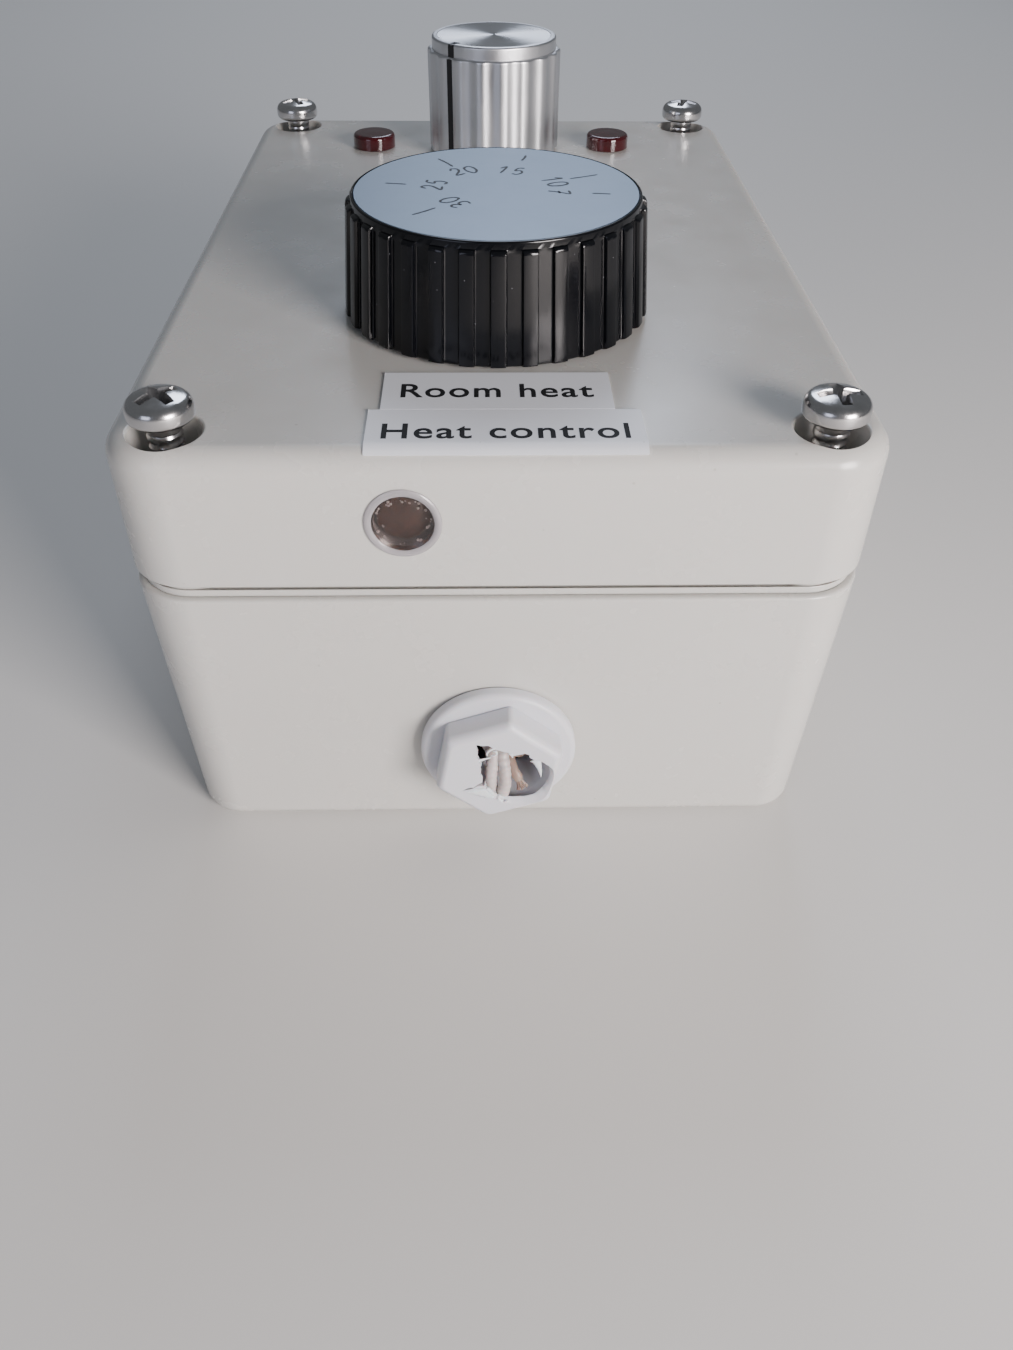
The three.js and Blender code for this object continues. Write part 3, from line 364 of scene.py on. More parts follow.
boxLooks = {"colour": "#cac8c3", "shade": "#c5c3bd", "roughness": 0.25, "grain": 0.5, "bump": 0.10,
            "depth": 0.04, "speckSpacing": 6.0, "speckSize": 0.035, "speckShare": 0.35,
            "speckColour": "#8d8a82"}
glandLooks = {"colour": "#d6d6db", "shade": "#d0d1d7", "roughness": 0.4, "grain": 0.3, "bump": 0.16,
              "depth": 0.15, "speckSpacing": 5.0, "speckSize": 0.03, "speckShare": 0.3,
              "speckColour": "#a29e98"}
dialLooks = {"colour": "#08090d", "shade": "#050609", "roughness": 0.17, "grain": 0.4, "bump": 0.1,
             "specular": 0.34, "speckSpacing": 1.6, "speckSize": 0.05, "speckShare": 0.5,
             "speckColour": "#8b8d92"}
tapeLooks = {"colour": "#eff1f6", "shade": "#e8ebf1", "roughness": 0.38, "grain": 0.25, "bump": 0.14,
             "speckSpacing": 4.0, "speckSize": 0.03, "speckShare": 0.4, "speckColour": "#9a9a98"}
# the white cores' colours are greyed as painted shade for the dark mouth of the gland
coreShadedLooks = {"colour": "#c9c0bd", "shade": "#b5aaa6", "roughness": 0.42, "grain": 0.2, "bump": 0.2,
             "depth": 0.3, "speckSpacing": 2.0, "speckSize": 0.04, "speckShare": 0.3,
             "speckColour": "#9c8f86"}
tanShadedLooks = dict(coreShadedLooks, colour="#a58f82", shade="#8a7366")
gasketLooks = {"colour": "#131314", "shade": "#0d0d0e", "roughness": 0.8, "specular": 0.3, "grain": 0.3,
               "bump": 0.3, "ior": 1.52, "speckSpacing": 1.5, "speckSize": 0.06, "speckShare": 0.4,
               "speckColour": "#6a6a6a"}

absBox = polymer("absInjectionMoulded", boxLooks)        # cream grey, glossy, evenly lit
polyamideGland = polymer("polyamideMoulded", glandLooks)        # cooler white, waxy, a little light inside
polishedBlack = polymer("absPolishedBlack", dialLooks)        # deep black, sharp streaks, dust in the grooves
vinylTape = polymer("vinylTapeLaminated", tapeLooks)        # paper-white with a plastic film's gloss
pvcCoreShaded = polymer("pvcExtrudedWhitePaintedShade", coreShadedLooks)        # milky insulation that glows at the cut end, its white greyed by painted shade
pvcTanShaded = polymer("pvcExtrudedTanPaintedShade", tanShadedLooks)        # the same in tan, darkened by painted shade where it runs into the dark
rubberSeal = polymer("nitrileMoulded", gasketLooks)        # dull black, no highlight

# the disc's blue-grey colour holds a painted reflection of the bluish window
discBlueReflectionLooks = {"colour": "#7e8a97", "shade": "#788491", "roughness": 0.44, "markSize": 9.0, "spread": 0.08,
             "lines": (9, 9, 9), "bump": 0.1}
knobLooks = {"colour": "#d9dadd", "shade": "#d0d1d4", "roughness": 0.37, "markSize": 5.0, "spread": 0.12,
             "lines": (1.5, 1.5, 14), "bump": 0.05}
knobTopLooks = dict(knobLooks, roughness=0.3, anisotropic=0.9, turned=True, bump=0.02)
screwLooks = {"colour": "#d2d1d2", "shade": "#bdbbb9", "roughness": 0.2, "markSize": 1.2, "lines": (4, 4, 4),
              "bump": 0.08}
steelLooks = {"colour": "#a9a9ab", "shade": "#8f8f92", "roughness": 0.34, "markSize": 2.0, "lines": (3, 3, 3),
              "bump": 0.1}
brassLooks = {"colour": "#c9a35a", "shade": "#a8843f", "roughness": 0.3, "markSize": 1.5, "lines": (2, 2, 12),
              "bump": 0.1}

discBlueReflectionMetal = brightMetal("aluminiumSatinBlueReflectionPainted", discBlueReflectionLooks)        # quiet silver grey with a painted blue reflection of the window, no mirror
turnedAluminium = brightMetal("aluminiumTurned", knobLooks)        # bright flutes with long streaks
facedAluminium = brightMetal("aluminiumFaced", knobTopLooks)        # fan of light round the centre
nickelScrew = brightMetal("steelNickelPlated", screwLooks)        # warm mirror with small marks
platedSteel = brightMetal("steelZincPlated", steelLooks)        # greyer and duller than the screws
machinedBrass = brightMetal("brassMachined", brassLooks)        # yellow, with fine rings


def clearResin(name, colour, roughness, ior, clear=1.0):        # cast or moulded clear plastic
    material, shader, place = startMaterial(name, colour, roughness,
                                            {"IOR": ior, "Transmission Weight": clear})
    waves = addNode(material, "ShaderNodeTexNoise", {"Scale": 1 / 1.4, "Detail": 3.0}, {"Vector": place})
    bump = addNode(material, "ShaderNodeBump", {"Strength": 0.25, "Distance": 0.00008},
                   {"Height": waves.outputs["Fac"]})
    connect(material, bump.outputs[0], shader.inputs["Normal"])
    smear = addNode(material, "ShaderNodeMapRange", {"To Min": roughness, "To Max": roughness + 0.1},
                    {"Value": waves.outputs["Fac"]})
    connect(material, smear.outputs[0], shader.inputs["Roughness"])
    return material


clearRing = clearResin("polycarbonateMoulded", "#d8d3d6", 0.12, 1.58, 0.55)        # bright glints at the lip
pottingResin = clearResin("epoxyCast", "#e9ddd8", 0.05, 1.55)        # slightly wavy window


def lensRed():        # dark red acrylic, polished: nearly black until light catches the dome
    material, shader, place = startMaterial("acrylicMouldedRed", "#4a0a12", 0.1, {
        "IOR": 1.49, "Transmission Weight": 0.35, "Coat Weight": 0.6, "Coat Roughness": 0.03,
    })
    tone = addNode(material, "ShaderNodeTexNoise", {"Scale": 1 / 2.5, "Detail": 2.0}, {"Vector": place})
    tint(material, shader, tone.outputs["Fac"], "#32060b", "#560c15")
    return material


def sensorBrown():        # lacquered ceramic bead, mottled brown
    material, shader, place = startMaterial("ceramicLacquered", "#5b3a2a", 0.35, {"IOR": 1.55})
    mottle = addNode(material, "ShaderNodeTexNoise", {"Scale": 1 / 0.7, "Detail": 6.0, "Roughness": 0.7},
                     {"Vector": place})
    spread = addNode(material, "ShaderNodeMapRange", {"From Min": 0.35, "From Max": 0.65},
                     {"Value": mottle.outputs["Fac"]})
    tint(material, shader, spread.outputs[0], "#2c1208", "#5f3823")
    bump = addNode(material, "ShaderNodeBump", {"Strength": 0.5, "Distance": 0.00008},
                   {"Height": mottle.outputs["Fac"]})
    connect(material, bump.outputs[0], shader.inputs["Normal"])
    return material


def inkMarks(name, colour, roughness):        # thin pigment film with an uneven body
    material, shader, place = startMaterial(name, colour, roughness, {"IOR": 1.5})
    body = addNode(material, "ShaderNodeTexNoise", {"Scale": 1 / 0.3, "Detail": 4.0}, {"Vector": place})
    tint(material, shader, body.outputs["Fac"], colour, "#1a1c20")
    return material


acrylicRed = lensRed()
ceramicBrown = sensorBrown()
printInk = inkMarks("ribbonPrintBlack", "#060607", 0.7)        # dense, flat black
penInk = inkMarks("fineLinerInk", "#14171c", 0.6)        # thinner black with a little grey in it
print("materials ready")


# box outline

boxShape = {"cornerRadius": 7.0, "wall": 3.0, "floor": 2.8, "footRound": 1.6, "lean": 1.65, "rimSetback": 0.8,
            "rimHeight": 1.5, "ledgeRound": 0.45, "lidRound": 2.5, "lidTop": 2.5, "seamRound": 0.18,
            "pillarRadius": 5.2, "pillarFoot": 3.5, "pillarTop": 4.1, "pillarBottom": 1.8, "wellRadius": 3.9,
            "wellDepth": 9.0, "screwHole": 2.15, "screwHoleFloor": 24, "mouthRound": 0.3, "postInX": 16,
            "postInY": 31, "postHole": 1.2, "fixingHole": 2.2, "fixingIn": 15, "glandHole": 6.2,
            "bushHole": 4.2, "lampHole": 3.05, "sensorHole": 3.85}
rimTop = boxOf("base_shell")[1].z
lidLow, lidHigh = boxOf("lid_shell")
halfWidth, halfLength, lidTop = lidHigh
gasketHigh = boxOf("lid_gasket")[1]
lidBottom = rimTop + 0.3        # the seam
corners = [(sx, sy, name) for sy, end in ((-1, "front"), (1, "back")) for sx, name in
           ((-1, f"lid_screw_{end}_left"), (1, f"lid_screw_{end}_right"))]


def boxRing(inset, z, steps=14):
    radius = max(boxShape["cornerRadius"] - inset, 0.4)
    x, y = halfWidth - inset - radius, halfLength - inset - radius
    ring = []
    for corner, (cx, cy) in enumerate(((x, y), (-x, y), (-x, -y), (x, -y))):
        for i in range(steps + 1):
            angle = (corner + i / steps) * math.pi / 2
            ring.append((cx + radius * math.cos(angle), cy + radius * math.sin(angle), z))
    return ring


def atCorners(make):
    made = []
    for _, _, node in corners:
        centre = centreOf(node)
        made.append(moveBy(make(), centre.x, centre.y, 0))
    return made


def rod(radius, low, high, steps=48):
    return spin("rod", [(0, low), (radius, low), (radius, high), (0, high)], steps)


def holeCutter(radius, low, top, mouth):        # a hole whose mouth at top is rounded outwards
    lip = arc(radius + mouth, top - mouth, mouth, 180, 90)
    return spin("hole", [(0, low), (radius, low), *lip, (radius + mouth, top + 2), (0, top + 2)], 56)


def makeBase():
    shape = boxShape
    ledge = rimTop - shape["rimHeight"]

    def lean(z):
        return shape["lean"] * max(0.0, 1 - z / ledge)

    rings = []
    for reach, z in arc(0, shape["footRound"], shape["footRound"], -90, 0, 8):
        rings.append(boxRing(lean(z) + shape["footRound"] - reach, z))
    for reach, z in arc(-shape["ledgeRound"], ledge - shape["ledgeRound"], shape["ledgeRound"], 0, 90, 5):
        rings.append(boxRing(lean(z) - reach, z))
    # a fine groove where the rim begins, a thin lip, then the trough that keeps dust off the seal
    for inset, z in ((0.02, 0), (0.2, -0.16), (0.2, 0.1), (0, 0.2)):
        rings.append(boxRing(shape["rimSetback"] + inset, ledge + z))
    for inset, z in ((0, -0.7), (0.04, -0.64), (0.13, -0.64), (0.16, -0.7), (0.25, -1.6), (1.1, -1.6),
                     (1.2, -0.1), (1.3, 0)):
        rings.append(boxRing(shape["rimSetback"] + inset, rimTop + z))
    rings.append(boxRing(shape["wall"] - 0.25, rimTop))
    rings.append(boxRing(shape["wall"], rimTop - 0.25))
    rings.append(boxRing(shape["wall"], ledge - 3))
    rings.append(boxRing(shape["wall"] + lean(6), 6))
    for reach, z in arc(0, shape["floor"] + 2, 2, 0, -90, 5):
        rings.append(boxRing(shape["wall"] + lean(z) + 2 - reach, z))
    base = loft("base_moulding", rings)
    postX, postY = halfWidth - shape["postInX"], halfLength - shape["postInY"]
    low, high = shape["pillarBottom"], rimTop - 0.05
    pillars = atCorners(lambda: spin("pillar", [(0, low), (shape["pillarFoot"], low),
                                                (shape["pillarTop"], high), (0, high)], 48))
    posts = []
    for sx in (-1, 1):
        for sy in (-1, 1):
            post = spin("post", [(0, 2), (3.2, 2), (3.2, 3), (3, 4), (3, 7.6), (2.8, 7.8), (0, 7.8)], 36)
            posts.append(moveBy(post, sx * postX, sy * postY, 0))
    combine(base, pillars + posts, "UNION")
    holes = atCorners(lambda: holeCutter(shape["screwHole"], shape["screwHoleFloor"], high,
                                         shape["mouthRound"]))
    holes += [moveBy(rod(shape["postHole"], 4, 9, 24), sx * postX, sy * postY, 0)
              for sx in (-1, 1) for sy in (-1, 1)]
    holes += [moveBy(rod(shape["fixingHole"], -2, 6, 36), 0, sy * (halfLength - shape["fixingIn"]), 0)
              for sy in (-1, 1)]
    gland = centreOf("gland_body")
    holes.append(layOut(rod(shape["glandHole"], 50, 70, 64), gland.x, 0, gland.z))
    combine(base, holes, "DIFFERENCE")
    polish(base, 32)
    settle(base, "base", "box_plastic", absBox, "base_shell")


makeBase()
print("base moulding done")


def makeLid():
    shape = boxShape
    rings = []
    for reach, z in arc(0, lidTop - shape["lidRound"], shape["lidRound"], 90, 0, 10):
        rings.append(boxRing(shape["lidRound"] - reach, z))
    for reach, z in arc(0, lidBottom + shape["seamRound"], shape["seamRound"], 0, -90, 4):
        rings.append(boxRing(shape["seamRound"] - reach, z))
    grooveOut, grooveIn = halfWidth - gasketHigh.x - 0.08, halfWidth - gasketHigh.x + 1.08
    for inset, z in ((grooveOut, lidBottom), (grooveOut, gasketHigh.z), (grooveIn, gasketHigh.z),
                     (grooveIn, lidBottom), (3.3, lidBottom), (3.3, lidLow.z + 0.3), (3.6, lidLow.z),
                     (4.2, lidLow.z), (4.5, lidLow.z + 0.3), (4.5, lidBottom), (3.0, lidBottom + 3)):
        rings.append(boxRing(inset, z))
    for reach, z in arc(0, lidTop - shape["lidTop"] - 1, 1, 0, 90, 4):
        rings.append(boxRing(shape["wall"] + 1 - reach, z))
    lid = loft("lid_moulding", rings)
    combine(lid, atCorners(lambda: rod(5.7, lidLow.z - 1, lidBottom)), "DIFFERENCE")
    combine(lid, atCorners(lambda: rod(shape["pillarRadius"], lidBottom, lidTop - 2.3)), "UNION")
    wellFloor = lidTop - shape["wellDepth"]
    cutters = atCorners(lambda: holeCutter(shape["wellRadius"], wellFloor, lidTop, shape["mouthRound"]))
    cutters += atCorners(lambda: rod(shape["screwHole"], lidBottom - 2, wellFloor + 1))
    for node, hole in (("dial_pot_bush", "bushHole"), ("knob_pot_bush", "bushHole"),
                       ("lamp_lens_left", "lampHole"), ("lamp_lens_right", "lampHole")):
        centre = centreOf(node)
        cutters.append(moveBy(rod(shape[hole], lidTop - 5, lidTop + 2), centre.x, centre.y, 0))
    sensor = centreOf("sensor_window")
    cutters.append(layOut(rod(shape["sensorHole"], halfLength - 7, halfLength + 3), sensor.x, 0, sensor.z))
    combine(lid, cutters, "DIFFERENCE")
    polish(lid, 32)
    settle(lid, "lid", "box_plastic", absBox, "lid_shell")


makeLid()
print("lid moulding done")


# lid screws

def threadRings(radius, depth, pitch, low, high, steps=28, rows=6):        # a real helix, fading at both ends
    rings = []
    count = int((high - low) / pitch * rows)
    for k in range(count + 1):
        z = low + (high - low) * k / count
        fade = min(1.0, (z - low) / pitch, (high - z) / pitch + 0.1)
        ring = []
        for i in range(steps):
            phase = (z / pitch - i / steps) % 1.0
            reach = radius - depth * fade * (1 - abs(2 * phase - 1)) ** 0.8
            angle = 2 * math.pi * i / steps
            ring.append((reach * math.cos(angle), reach * math.sin(angle), z))
        rings.append(ring)
    return rings


def crossRing(arm, width, z, turn):
    outline = ((arm, -width), (arm, width), (width, width), (width, arm), (-width, arm), (-width, width),
               (-arm, width), (-arm, -width), (-width, -width), (-width, -arm), (width, -arm),
               (width, -width))
    c, s = math.cos(turn), math.sin(turn)
    return [(x * c - y * s, x * s + y * c, z) for x, y in outline]


screwShape = {"headRadius": 3.5, "edgeRound": 1.25, "shank": 1.9, "thread": 0.28, "pitch": 1.0,
              "armAtTop": 2.4, "armAtFloor": 1.0, "recess": 2.1, "headHeight": 2.9}


def makeScrew(node, turn):
    shape = screwShape
    low, high = boxOf(node)
    centre = (low + high) / 2
    under = high.z - shape["headHeight"]
    edge = shape["edgeRound"]
    head = spin("head", [(0, under), (shape["shank"], under), (2.75, under),
                         *arc(2.8, under + 0.7, 0.7, -84, 0, 6),
                         *arc(shape["headRadius"] - edge, high.z - 1.6, edge, 0, 68, 7),
                         (2.2, high.z - 0.32), (1.7, high.z - 0.17), (1.1, high.z - 0.06),
                         (0.5, high.z - 0.01), (0, high.z)], 72)
    dip = shape["recess"]
    cutter = loft("cutter", [crossRing(0.35, 0.16, high.z - dip - 0.35, turn),
                             crossRing(shape["armAtFloor"], 0.36, high.z - dip, turn),
                             crossRing(shape["armAtTop"] - 0.12, 0.52, high.z - 0.42, turn),
                             crossRing(shape["armAtTop"] + 0.12, 0.64, high.z - 0.1, turn),
                             crossRing(shape["armAtTop"] + 0.25, 0.72, high.z + 0.4, turn)])
    combine(head, [cutter], "DIFFERENCE")
    tip = [roundRing(0.9, low.z, 28), roundRing(1.35, low.z + 0.25, 28)]
    neck = [roundRing(shape["shank"] - 0.1, under - 1.2, 28), roundRing(shape["shank"], under - 0.9, 28),
            roundRing(shape["shank"], under + 0.02, 28)]
    thread = threadRings(shape["shank"], shape["thread"], shape["pitch"], low.z + 0.9, under - 1.5)
    shank = loft("shank", [*tip, *thread, *neck])
    combine(head, [shank], "UNION")
    head.name = node + "_turned"
    moveBy(head, centre.x, centre.y, 0)
    polish(head, 28)
    settle(head, node, "screw_nickel", nickelScrew, node)


for turn, (sx, sy, node) in zip((0.82, 0.1, 0.5, 1.2), corners):
    makeScrew(node, turn)
print("screws done")


# temperature dial

dialShape = {"root": 18.05, "draft": 1.1, "rib": 0.57, "ribs": 32, "plainEdge": 0.8, "discRadius": 16.6,
             "discThickness": 0.6, "topRound": 0.22, "hollow": 15.6, "topWall": 2.0, "webs": 6, "grub": 1.55}
ribOutline = ((-0.29, 0.0), (-0.262, 0.12), (-0.25, 0.55), (-0.225, 0.92), (-0.17, 1.0), (0.0, 1.02),
              (0.17, 1.0), (0.225, 0.92), (0.25, 0.55), (0.262, 0.12), (0.29, 0.0), (0.5, 0.0))


def makeDial():
    shape = dialShape
    low, high = boxOf("dial_body")
    centre = (low + high) / 2
    bottom, top = low.z, high.z
    count = shape["ribs"] * len(ribOutline)

    def ribRing(z, share, rise=0.0):
        ring = []
        root = shape["root"] - shape["draft"] * (z - bottom) / (top - bottom)
        for i in range(count):
            rib, k = divmod(i, len(ribOutline))
            part, height = ribOutline[k]
            angle = 2 * math.pi * (rib + part) / shape["ribs"]
            reach = root + shape["rib"] * height * share - rise
            ring.append((reach * math.cos(angle), reach * math.sin(angle), z))
        return ring

    def flat(radius, z):
        return roundRing(radius, z, count, -0.29 * 2 * math.pi / shape["ribs"])

    ribTop = top - shape["plainEdge"]
    rings = [ribRing(bottom, 0.5, 0.12), ribRing(bottom + 0.15, 0.9), ribRing(bottom + 0.3, 1)]
    rings += [ribRing(ribTop - 0.5, 1), ribRing(ribTop - 0.25, 0.93), ribRing(ribTop - 0.1, 0.7),
              ribRing(ribTop - 0.02, 0.3), ribRing(ribTop, 0)]
    edge = shape["topRound"]
    rings += [flat(r, z) for r, z in arc(shape["root"] - shape["draft"] - edge, top - edge, edge, 0, 90, 5)]
    rings += [flat(shape["discRadius"] + 0.1, top), flat(shape["discRadius"] + 0.05, top - 0.06)]
    rings += [flat(shape["discRadius"] + 0.05, top - shape["discThickness"] - 0.02)]
    body = loft("dial_moulding", rings)
    ceiling = top - shape["discThickness"] - shape["topWall"]
    hollow = shape["hollow"]
    under = spin("under", [(0, bottom - 1), (hollow, bottom - 1), (hollow - 0.1, bottom + 0.1),
                           (hollow - 0.2, ceiling - 0.8), (hollow - 1, ceiling), (0, ceiling)], 72)
    combine(body, [under], "DIFFERENCE")
    hubLow, hubHigh = boxOf("dial_insert")
    hub = spin("hub", [(0, hubLow.z), (5.3, hubLow.z), (5.5, hubLow.z + 0.2), (5.5, ceiling - 0.5),
                       (6.2, ceiling + 0.1), (6.2, ceiling + 0.3), (0, ceiling + 0.3)], 48)
    webs = []
    for k in range(shape["webs"]):
        web = block("web", (5, -0.5, ceiling - 3), (hollow, 0.5, ceiling + 0.2))
        web.data.transform(Matrix.Rotation(k * 2 * math.pi / shape["webs"] + 0.26, 4, "Z"))
        webs.append(web)
    combine(body, [hub, *webs], "UNION")
    bore = rod((hubHigh.x - hubLow.x) / 2 + 0.05, hubLow.z - 1, hubHigh.z + 0.05)
    grubZ = centreOf("dial_grub_screw").z
    grub = rod(shape["grub"], 4, 20, 24)
    grub.data.transform(Matrix.Rotation(-math.pi / 2, 4, "X"))
    moveBy(grub, 0, 0, grubZ)
    combine(body, [bore, grub], "DIFFERENCE")
    moveBy(body, centre.x, centre.y, 0)
    polish(body, 30)
    settle(body, "temperature_dial", "knob_black", polishedBlack, "dial_body")
    return centre, top


dialCentre, dialTop = makeDial()


def makeDialDisc():
    shape = dialShape
    radius = shape["discRadius"]
    low, high = boxOf("dial_scale_disc")
    disc = spin("dial_disc", [(0, low.z), (radius - 0.1, low.z), (radius, low.z + 0.1),
                              (radius, high.z - 0.1), (radius - 0.1, high.z), (radius * 0.66, high.z),
                              (radius * 0.33, high.z), (0, high.z)], 160)
    moveBy(disc, dialCentre.x, dialCentre.y, 0)
    polish(disc, 30)
    settle(disc, "temperature_dial", "scale_aluminium", discBlueReflectionMetal, "dial_scale_disc")


makeDialDisc()

# pen strokes of each numeral in a unit cell, x to the right and y up
strokes = {
    "0": [[(0.5, 1), (0.12, 0.8), (0.05, 0.4), (0.3, 0), (0.72, 0.1), (0.92, 0.5), (0.8, 0.88), (0.5, 1)]],
    "1": [[(0.2, 0.72), (0.6, 1), (0.5, 0)]],
    "2": [[(0.1, 0.75), (0.4, 1), (0.8, 0.85), (0.7, 0.5), (0.1, 0.02), (0.9, 0.06)]],
    "3": [[(0.1, 0.9), (0.5, 1.02), (0.78, 0.82), (0.62, 0.6), (0.35, 0.54)],
          [(0.35, 0.54), (0.75, 0.46), (0.88, 0.22), (0.55, 0), (0.08, 0.1)]],
    "5": [[(0.85, 1), (0.3, 0.96), (0.22, 0.55), (0.65, 0.6), (0.85, 0.3), (0.55, 0.0), (0.1, 0.08)]],
    "7": [[(0.1, 0.95), (0.88, 1), (0.5, 0.5), (0.35, 0)], [(0.28, 0.5), (0.75, 0.55)]],
}
penMarks = (        # text, tick angle, tick from, tick to, numeral angle, numeral radius
    ("30", -137.5, 9.35, 12.75, -137.5, 6.5), ("25", 170, 10.7, 13.25, 166.6, 7.45),
    ("20", 121, 10.1, 13.75, 118.4, 8.05), ("15", 73.7, 11.6, 13.75, 75.5, 7.35),
    ("10", 24.7, 9.7, 13.45, 22.8, 7.55), ("7", -6.5, 11.1, 13.25, -6.5, 7.25),
)
penShape = {"line": 0.3, "film": 0.012, "digitHeight": 2.5, "digitWidth": 1.45, "spacing": 1.93}


def inkLine(points, width, base, film):        # a flat raised line in mm, with rounded corners of ink
    route = smoothRoute([(x, y, 0) for x, y in points], 6)
    left, right = [], []
    for i, point in enumerate(route):
        ahead = (route[min(i + 1, len(route) - 1)] - route[max(i - 1, 0)]).normalized()
        side = Vector((-ahead.y, ahead.x, 0))
        wobble = 1 + 0.25 * noise.noise(point * 1.7)
        ends = 0.45 if i in (0, len(route) - 1) else 1
        left.append(point + side * width / 2 * wobble * ends)
        right.append(point - side * width / 2 * wobble * ends)
    points3, faces = [], []
    for z in (base, base + film):
        points3 += [(p.x, p.y, z) for p in left] + [(p.x, p.y, z) for p in right]
    n = len(route)
    for i in range(n - 1):
        faces.append((2 * n + i, 3 * n + i, 3 * n + i + 1, 2 * n + i + 1))
        faces.append((i, i + 1, n + i + 1, n + i))
        faces.append((i, 2 * n + i, 2 * n + i + 1, i + 1))
        faces.append((n + i, n + i + 1, 3 * n + i + 1, 3 * n + i))
    faces += [(0, n, 3 * n, 2 * n), (n - 1, 3 * n - 1, 4 * n - 1, 2 * n - 1)]
    return points3, faces


def makePenMarks():
    shape = penShape
    points, faces = [], []

    def draw(line):
        more, moreFaces = inkLine(line, shape["line"], dialTop - 0.018, shape["film"])
        start = len(points)
        points.extend(more)
        faces.extend(tuple(start + i for i in face) for face in moreFaces)

    for text, tickAngle, tickFrom, tickTo, angle, radius in penMarks:
        a = math.radians(tickAngle)
        middle = (tickFrom + tickTo) / 2
        draw([(r * math.cos(a) + wave * 0.1, r * math.sin(a)) for r, wave in
              ((tickFrom, 0), (middle, 1), (tickTo, 0))])
        a = math.radians(angle)
        outward = Vector((math.cos(a), math.sin(a)))
        along = Vector((math.sin(a), -math.cos(a)))        # digits stand with their tops outward
        for k, digit in enumerate(text):
            across = (k - (len(text) - 1) / 2) * shape["spacing"] - shape["digitWidth"] / 2
            for stroke in strokes[digit]:
                line = []
                for x, y in stroke:
                    sideways = across + x * shape["digitWidth"] + random.uniform(-0.06, 0.06)
                    height = (y - 0.5) * shape["digitHeight"] + random.uniform(-0.06, 0.06)
                    spot = outward * (radius + height) + along * sideways
                    line.append((spot.x, spot.y))
                draw(line)
    marks = newPiece("dial_pen_marks", points, faces)
    reshape(marks, lambda shape: bmesh.ops.recalc_face_normals(shape, faces=shape.faces))
    moveBy(marks, dialCentre.x, dialCentre.y, 0.0185)
    settle(marks, "temperature_dial", "knob_black", penInk)


makePenMarks()
print("dial done")


# level knob

knobShape = {"crest": 10.75, "flute": 0.38, "flutes": 18, "band": 10.0, "bandHeight": 1.8, "topRound": 0.35,
             "inner": 8.6, "lineAngle": -132.8, "lineWidth": 1.2, "topWall": 1.4, "grub": 1.55, "lip": 0.87,
             "cutStep": 0.24}
fluteOutline = ((-0.5, 0.0), (-0.42, 0.0), (-0.34, 0.12), (-0.25, 0.45), (-0.14, 0.85), (0.0, 1.0),
                (0.14, 0.85), (0.25, 0.45), (0.34, 0.12), (0.42, 0.0))


